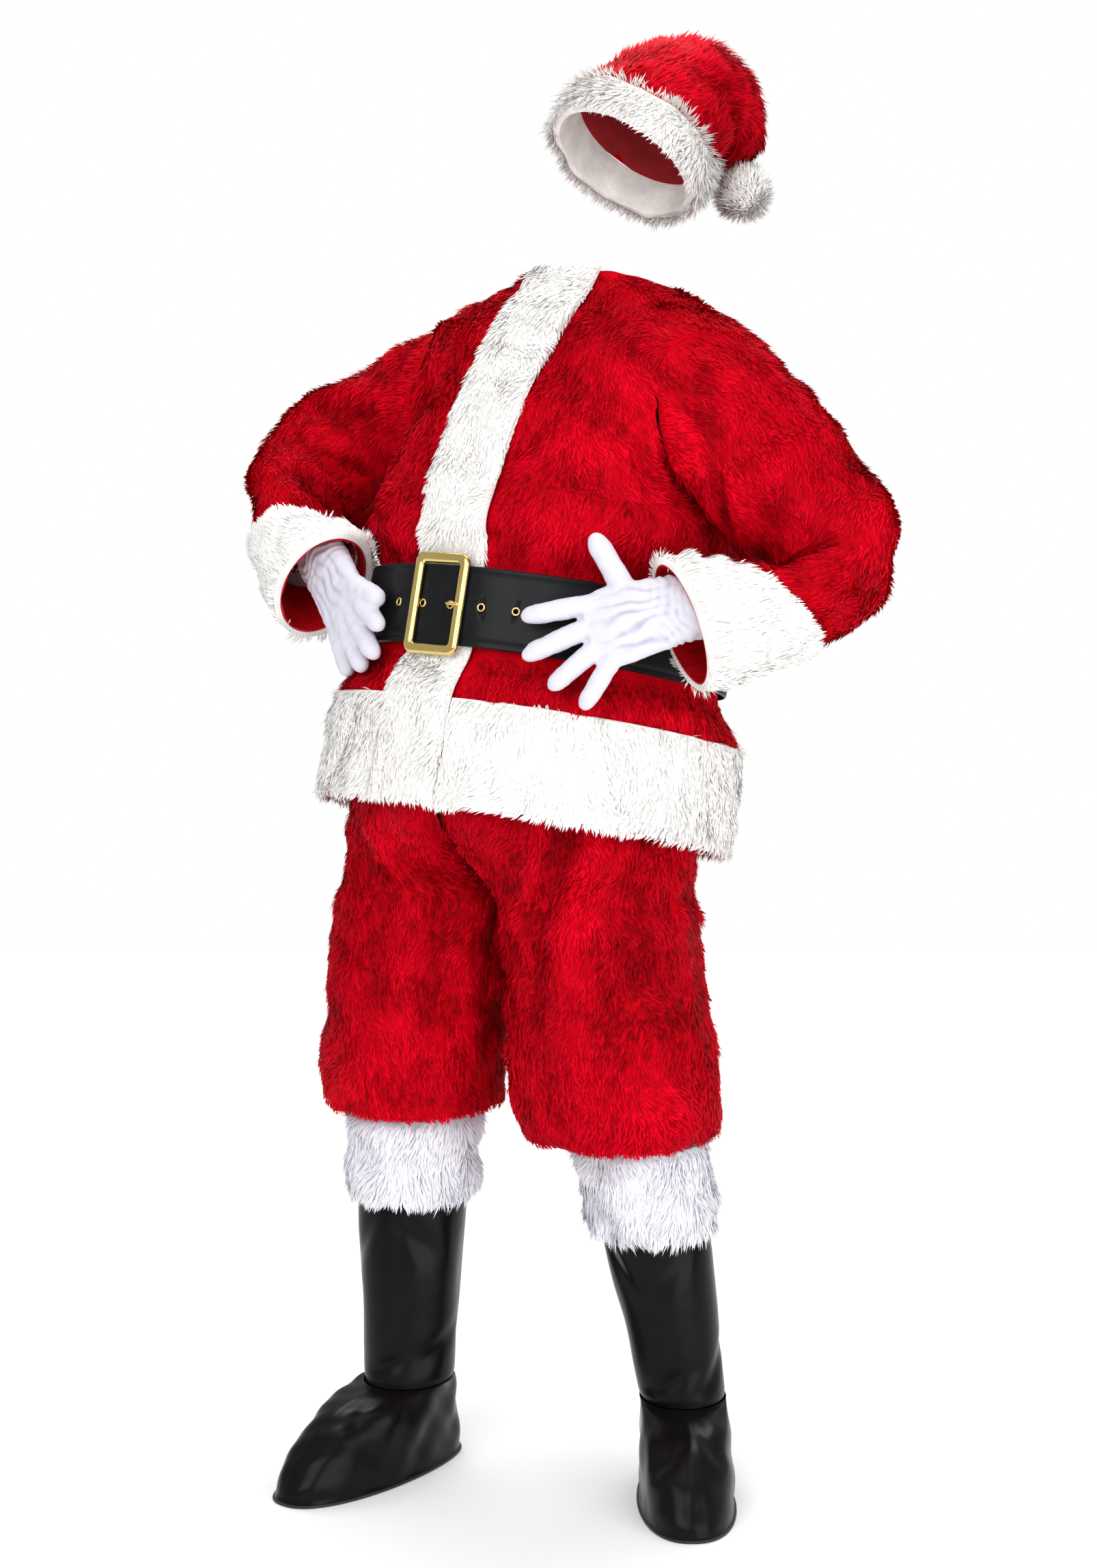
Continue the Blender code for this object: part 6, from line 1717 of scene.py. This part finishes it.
class Finger(NamedTuple):
    """A finger: its root, length, spread in degrees, radius and bend towards the palm."""

    along: float
    across: float
    length: float
    angle: float
    radius: float
    bend: float


@dataclass
class Glove:
    """A thin knit glove, shaped on a relaxed hand."""

    side: Side
    wrist: Triple
    aim: Triple
    palm_side: Triple
    fingers: tuple[Finger, ...]
    palm: tuple[Palm, ...] = table(Palm,
        (-0.036, -0.007, 0.035, 0.026), (-0.01, 0.0, 0.04, 0.026), (0.03, 0.002, 0.044, 0.021),
        (0.068, 0.002, 0.047, 0.017), (0.096, 0.0, 0.041, 0.012))
    knit: float = 0.0014
    voxel: float = 0.0021
    line_gap: float = 0.0135
    line_depth: float = 0.0026
    pucker_gap: float = 0.012
    pucker_depth: float = 0.0011
    wrist_cut: float = 0.0012

    def directions(self) -> tuple[Array, Array, Array]:
        """Directions along the hand, towards the thumb and out of the palm."""
        along = unit(self.aim)
        palm_side = np.asarray(self.palm_side, float)
        palm_side = unit(palm_side - along * (palm_side @ along))
        thumb_side = np.cross(palm_side, along) * self.side.value
        return along, thumb_side * (1 if thumb_side[2] > 0 else -1), palm_side

    @staticmethod
    def finger_scale(share: float) -> float:
        """A finger's radius along its length: fuller at the knuckle, tapering, and round at its tip."""
        knuckle = 1 + 0.05 * bell(share - 0.5, 0.07) - 0.04 * bell(share - 0.3, 0.1)
        tip = math.sqrt(max(1 - max((share - 0.80) / 0.205, 0) ** 2.4, 0.03))
        return knuckle * tip * (1 - 0.10 * share)

    def lofts(self) -> list[Array]:
        """Rings of the palm and of each finger: ovals along the hand, circles along bent lines."""
        along, thumb_side, palm_side = self.directions()
        wrist = np.array(self.wrist)
        turn = full_turn(28)[:, None]
        rows = np.linspace(0, len(self.palm) - 1, 18)
        palm = [wrist + along * at + thumb_side * across + wide * np.cos(turn) * thumb_side
                + thick * np.sin(turn) * palm_side for at, across, wide, thick in through(self.palm, rows)]
        shapes = [np.array(palm)]
        for finger in self.fingers:
            angle = math.radians(finger.angle)
            aim = along * math.cos(angle) + thumb_side * math.sin(angle)
            start = wrist + along * finger.along + thumb_side * finger.across - aim * 0.020
            length = finger.length + 0.004
            rings = []
            for share in (0.0, 0.25, 0.42, 0.5, 0.6, 0.72, 0.82, 0.90, 0.95, 0.985, 1.0):
                centre = start + aim * length * share + palm_side * finger.bend * (share * share - 0.1)
                direction = unit(aim * length + palm_side * 2 * share * finger.bend)
                rings.append(circle(centre, direction, finger.radius * self.finger_scale(share), 20))
            shapes.append(np.array(rings))
        return shapes

    def build(self) -> None:
        """Lofts joined into one skin, smoothed where fingers meet the palm, creased, and hollowed."""
        points, faces, base = [], [], 0
        for rings in self.lofts():
            rows, cols = rings.shape[:2]
            faces += (quads(rows, cols, True) + base).tolist()
            faces += [[base + col for col in range(cols)][::-1],
                      [base + (rows - 1) * cols + col for col in range(cols)]]
            points.append(rings.reshape(-1, 3))
            base += rows * cols
        made = add_mesh("glove_%s_knit" % self.side.word, np.concatenate(points), faces, [WHITE_KNIT])
        face_out(made)
        remesh = made.modifiers.new("skin", "REMESH")
        remesh.mode, remesh.voxel_size = "VOXEL", self.voxel
        smooth = made.modifiers.new("ease", "SMOOTH")
        smooth.factor, smooth.iterations = 0.5, 9
        apply_modifiers(made)
        mesh = made.data
        self.crease(mesh)
        self.open_wrist(mesh)
        mesh.shade_smooth()
        solid = made.modifiers.new("cloth", "SOLIDIFY")
        solid.thickness, solid.offset = self.knit * 0.6, -1.0
        node = "glove_" + self.side.word
        stand_for(made, node)
        LOG.info("%s: %d faces", node, len(mesh.polygons))

    def crease(self, mesh: bpy.types.Mesh) -> None:
        """Presses lines into the skin that fan out over the back of the hand, and puckers at the wrist.

        A line's depth is the third power of a sine across the hand; a pucker's is a sine along it.
        """
        place, normal = np.empty((2, len(mesh.vertices) * 3))
        mesh.vertices.foreach_get("co", place)
        mesh.vertex_normals.foreach_get("vector", normal)
        place, normal = place.reshape(-1, 3), normal.reshape(-1, 3)
        along, thumb_side, _ = self.directions()
        local = place + STANCE.neck - np.array(self.wrist)
        down, across = local @ along, local @ thumb_side
        drift = Ripple(0.05, 140 + self.side.value).at(place)
        back = np.clip(1 - np.abs(down - 0.040) / 0.062, 0, 1) * np.clip(3 - np.abs(across) / 0.016, 0, 1)
        fan = across / (1 + 4.0 * np.clip(down, 0, 0.1))
        lines = np.sin(fan * 2 * math.pi / self.line_gap + 1.6 * drift) * 0.5 + 0.5
        puckers = np.sin(down * 2 * math.pi / self.pucker_gap + 2.4 * drift)
        at_wrist = np.clip(1 - np.abs(down + 0.005) / 0.032, 0, 1)
        depth = -self.line_depth * lines ** 3 * back + self.pucker_depth * puckers * at_wrist
        depth += 0.00025 * Ripple(0.016, 150 + self.side.value).at(place)
        place = place + normal * depth[:, None]
        mesh.vertices.foreach_set("co", place.ravel())
        # the creases' depth, which the knit's colour turns into painted shade
        set_values(mesh, "crease", np.clip(-depth / self.line_depth, 0, 1))

    def open_wrist(self, mesh: bpy.types.Mesh) -> None:
        """Takes away the skin behind the wrist's edge, so that the glove is open there."""
        body = bmesh.new()
        body.from_mesh(mesh)
        start = self.palm[0].along + self.wrist_cut
        wrist, along = np.array(self.wrist) - STANCE.neck, self.directions()[0]
        cap = [vertex for vertex in body.verts if (np.array(vertex.co) - wrist) @ along < start]
        bmesh.ops.delete(body, geom=cap, context="VERTS")
        body.to_mesh(mesh)
        body.free()


# --- Studio --------------------------------------------------------------------------------------
class Lamp(NamedTuple):
    """A square soft box: its place, what it is aimed at, its side in metres and its power in watts."""

    name: str
    place: Triple
    target: Triple
    size: float
    power: float


@dataclass
class Studio:
    """A pale floor, soft lights and the camera."""

    eye: Triple = (0.0, -4.0, 1.41)
    pitch: float = math.radians(8.2)
    focal_pixels: float = 4812.0
    image_height: float = 2296.0
    sensor: float = 36.0
    floor_x: tuple[float, float] = (-5.0, 5.0)
    floor_y: tuple[float, float] = (-5.0, 3.2)
    surround: float = 0.50          # strength of the world's light
    seen: float = 0.50              # what is added to it where the camera sees it
    lamps: tuple[Lamp, ...] = (
        Lamp("key", (-1.5, -3.5, 1.3), (0.0, 0.0, -0.5), 3.0, 99.0),
        Lamp("fill", (2.3, -3.1, -0.3), (0.0, 0.0, -0.5), 3.0, 84.0),
        Lamp("top", (0.2, -0.2, 3.0), (0.0, 0.0, -0.5), 2.4, 40.0),
        Lamp("backdrop", (0.0, 2.2, 2.4), (0.0, 3.0, -1.4), 3.0, 150.0),
    )

    def build_camera(self) -> None:
        """A level camera that looks along +Y and a little down."""
        camera = bpy.data.cameras.new("camera")
        camera.sensor_width = self.sensor
        camera.lens = self.focal_pixels / self.image_height * camera.sensor_width
        made = placed("camera", camera)
        made.location = np.array(self.eye) - STANCE.neck
        made.rotation_euler = (math.pi / 2 - self.pitch, 0.0, 0.0)
        bpy.context.scene.camera = made

    def build_floor(self) -> None:
        """A wide pale floor under the soles."""
        x, y = np.linspace(*self.floor_x, 9), np.linspace(*self.floor_y, 9)
        grid = np.stack(np.broadcast_arrays(x[None, :], y[:, None], 0.0), -1)
        paper = Finish("paper", "", (0.93, 0.93, 0.93), 0.9)
        add_mesh("floor", grid, quads(len(y), len(x), False).tolist(), [paper])

    def build_surround(self) -> None:
        """An even pale world, which the camera itself sees as white."""
        world = bpy.data.worlds.new("surround")
        world.use_nodes = True
        tree = world.node_tree
        background = tree.nodes["Background"]
        background.inputs["Color"].default_value = (1.0, 1.0, 1.0, 1.0)
        path = tree.nodes.new("ShaderNodeLightPath")
        strength = tree.nodes.new("ShaderNodeMath")
        strength.operation = "MULTIPLY_ADD"
        strength.inputs[1].default_value, strength.inputs[2].default_value = self.seen, self.surround
        tree.links.new(path.outputs["Is Camera Ray"], strength.inputs[0])
        tree.links.new(strength.outputs[0], background.inputs["Strength"])
        bpy.context.scene.world = world

    def build_lights(self) -> None:
        """Two large soft boxes in front, one above and one for the floor behind."""
        for lamp in self.lamps:
            light = bpy.data.lights.new(lamp.name, "AREA")
            light.size, light.energy = lamp.size, lamp.power
            made = placed(lamp.name, light)
            made.location = lamp.place
            made.rotation_mode = "QUATERNION"
            made.rotation_quaternion = (Vector(lamp.target) - Vector(lamp.place)).to_track_quat("-Z", "Y")
        bpy.context.scene.view_settings.view_transform = "Standard"

    def build(self) -> None:
        """The whole studio."""
        self.build_camera()
        self.build_floor()
        self.build_surround()
        self.build_lights()


BOOTS = (
    dict(side=Side.LEFT, ankle=(0.163, -0.150), top=(0.110, -0.116), aim=math.radians(1),
         fur_bottom=0.312, fur_top=0.416, creases=table(Fold,
             (20, 2.9, 30, 0.22, 0.012, -0.005), (300, 2.8, 26, 0.2, -0.014, -0.0045),
             (340, 1.35, 40, 0.1, 0.004, -0.004), (60, 1.5, 36, 0.14, 0.008, -0.0035),
             (270, 1.9, 24, 0.4, 0.01, -0.0035), (110, 2.4, 20, 0.6, 0.0, -0.0035),
             (180, 1.6, 40, 0.16, 0.0, -0.004), (230, 2.5, 24, 0.4, -0.01, -0.0035),
             (330, 0.75, 30, 0.12, 0.01, -0.0035), (30, 0.8, 24, 0.1, -0.01, -0.0035))),
    dict(side=Side.RIGHT, ankle=(-0.172, -0.082), top=(-0.166, -0.030), aim=math.radians(-41),
         fur_bottom=0.336, fur_top=0.434, creases=table(Fold,
             (350, 3.0, 30, 0.22, 0.012, -0.005), (50, 2.9, 26, 0.2, -0.01, -0.0045),
             (20, 1.35, 44, 0.1, 0.004, -0.004), (80, 1.5, 36, 0.14, 0.006, -0.0035),
             (310, 2.0, 24, 0.4, 0.008, -0.0035), (120, 2.4, 20, 0.6, 0.0, -0.0035),
             (180, 1.6, 40, 0.16, 0.0, -0.004), (240, 2.6, 24, 0.4, -0.01, -0.0035),
             (320, 0.75, 30, 0.12, 0.008, -0.0035), (40, 0.8, 24, 0.1, -0.01, -0.0035))),
)
GLOVES = (
    dict(side=Side.LEFT, wrist=(0.138, -0.272, 1.071), aim=(-0.953, 0.040, -0.290),
         palm_side=(-0.08, 0.95, -0.26), fingers=table(Finger,
             (0.04, 0.03, 0.1, 76, 0.0145, 0.0), (0.086, 0.034, 0.096, 7, 0.0128, 0.006),
             (0.088, 0.01, 0.106, -7, 0.013, 0.007), (0.086, -0.013, 0.094, -24, 0.0125, 0.006),
             (0.078, -0.034, 0.082, -42, 0.0118, 0.004))),
    dict(side=Side.RIGHT, wrist=(-0.268, -0.012, 1.098), aim=(0.33, -0.72, -0.61),
         palm_side=(0.74, 0.66, 0.08), fingers=table(Finger,
             (0.052, 0.028, 0.096, 26, 0.0145, 0.01), (0.084, 0.034, 0.086, 8, 0.013, 0.006),
             (0.088, 0.011, 0.098, 1, 0.0132, 0.005), (0.086, -0.012, 0.09, -5, 0.0128, 0.003),
             (0.078, -0.034, 0.076, -13, 0.012, 0.002))),
)


def main() -> None:
    """Builds and dresses the whole suit."""
    logging.basicConfig(level=logging.INFO, format="%(message)s")
    Studio().build()
    jacket = Jacket()
    jacket.build()
    Belt(jacket).build()
    Trousers().build()
    for sizes in BOOTS:
        BootCover(**sizes).build()
    Hat().build()
    for sizes in GLOVES:
        Glove(**sizes).build()


if __name__ == "__main__":
    main()
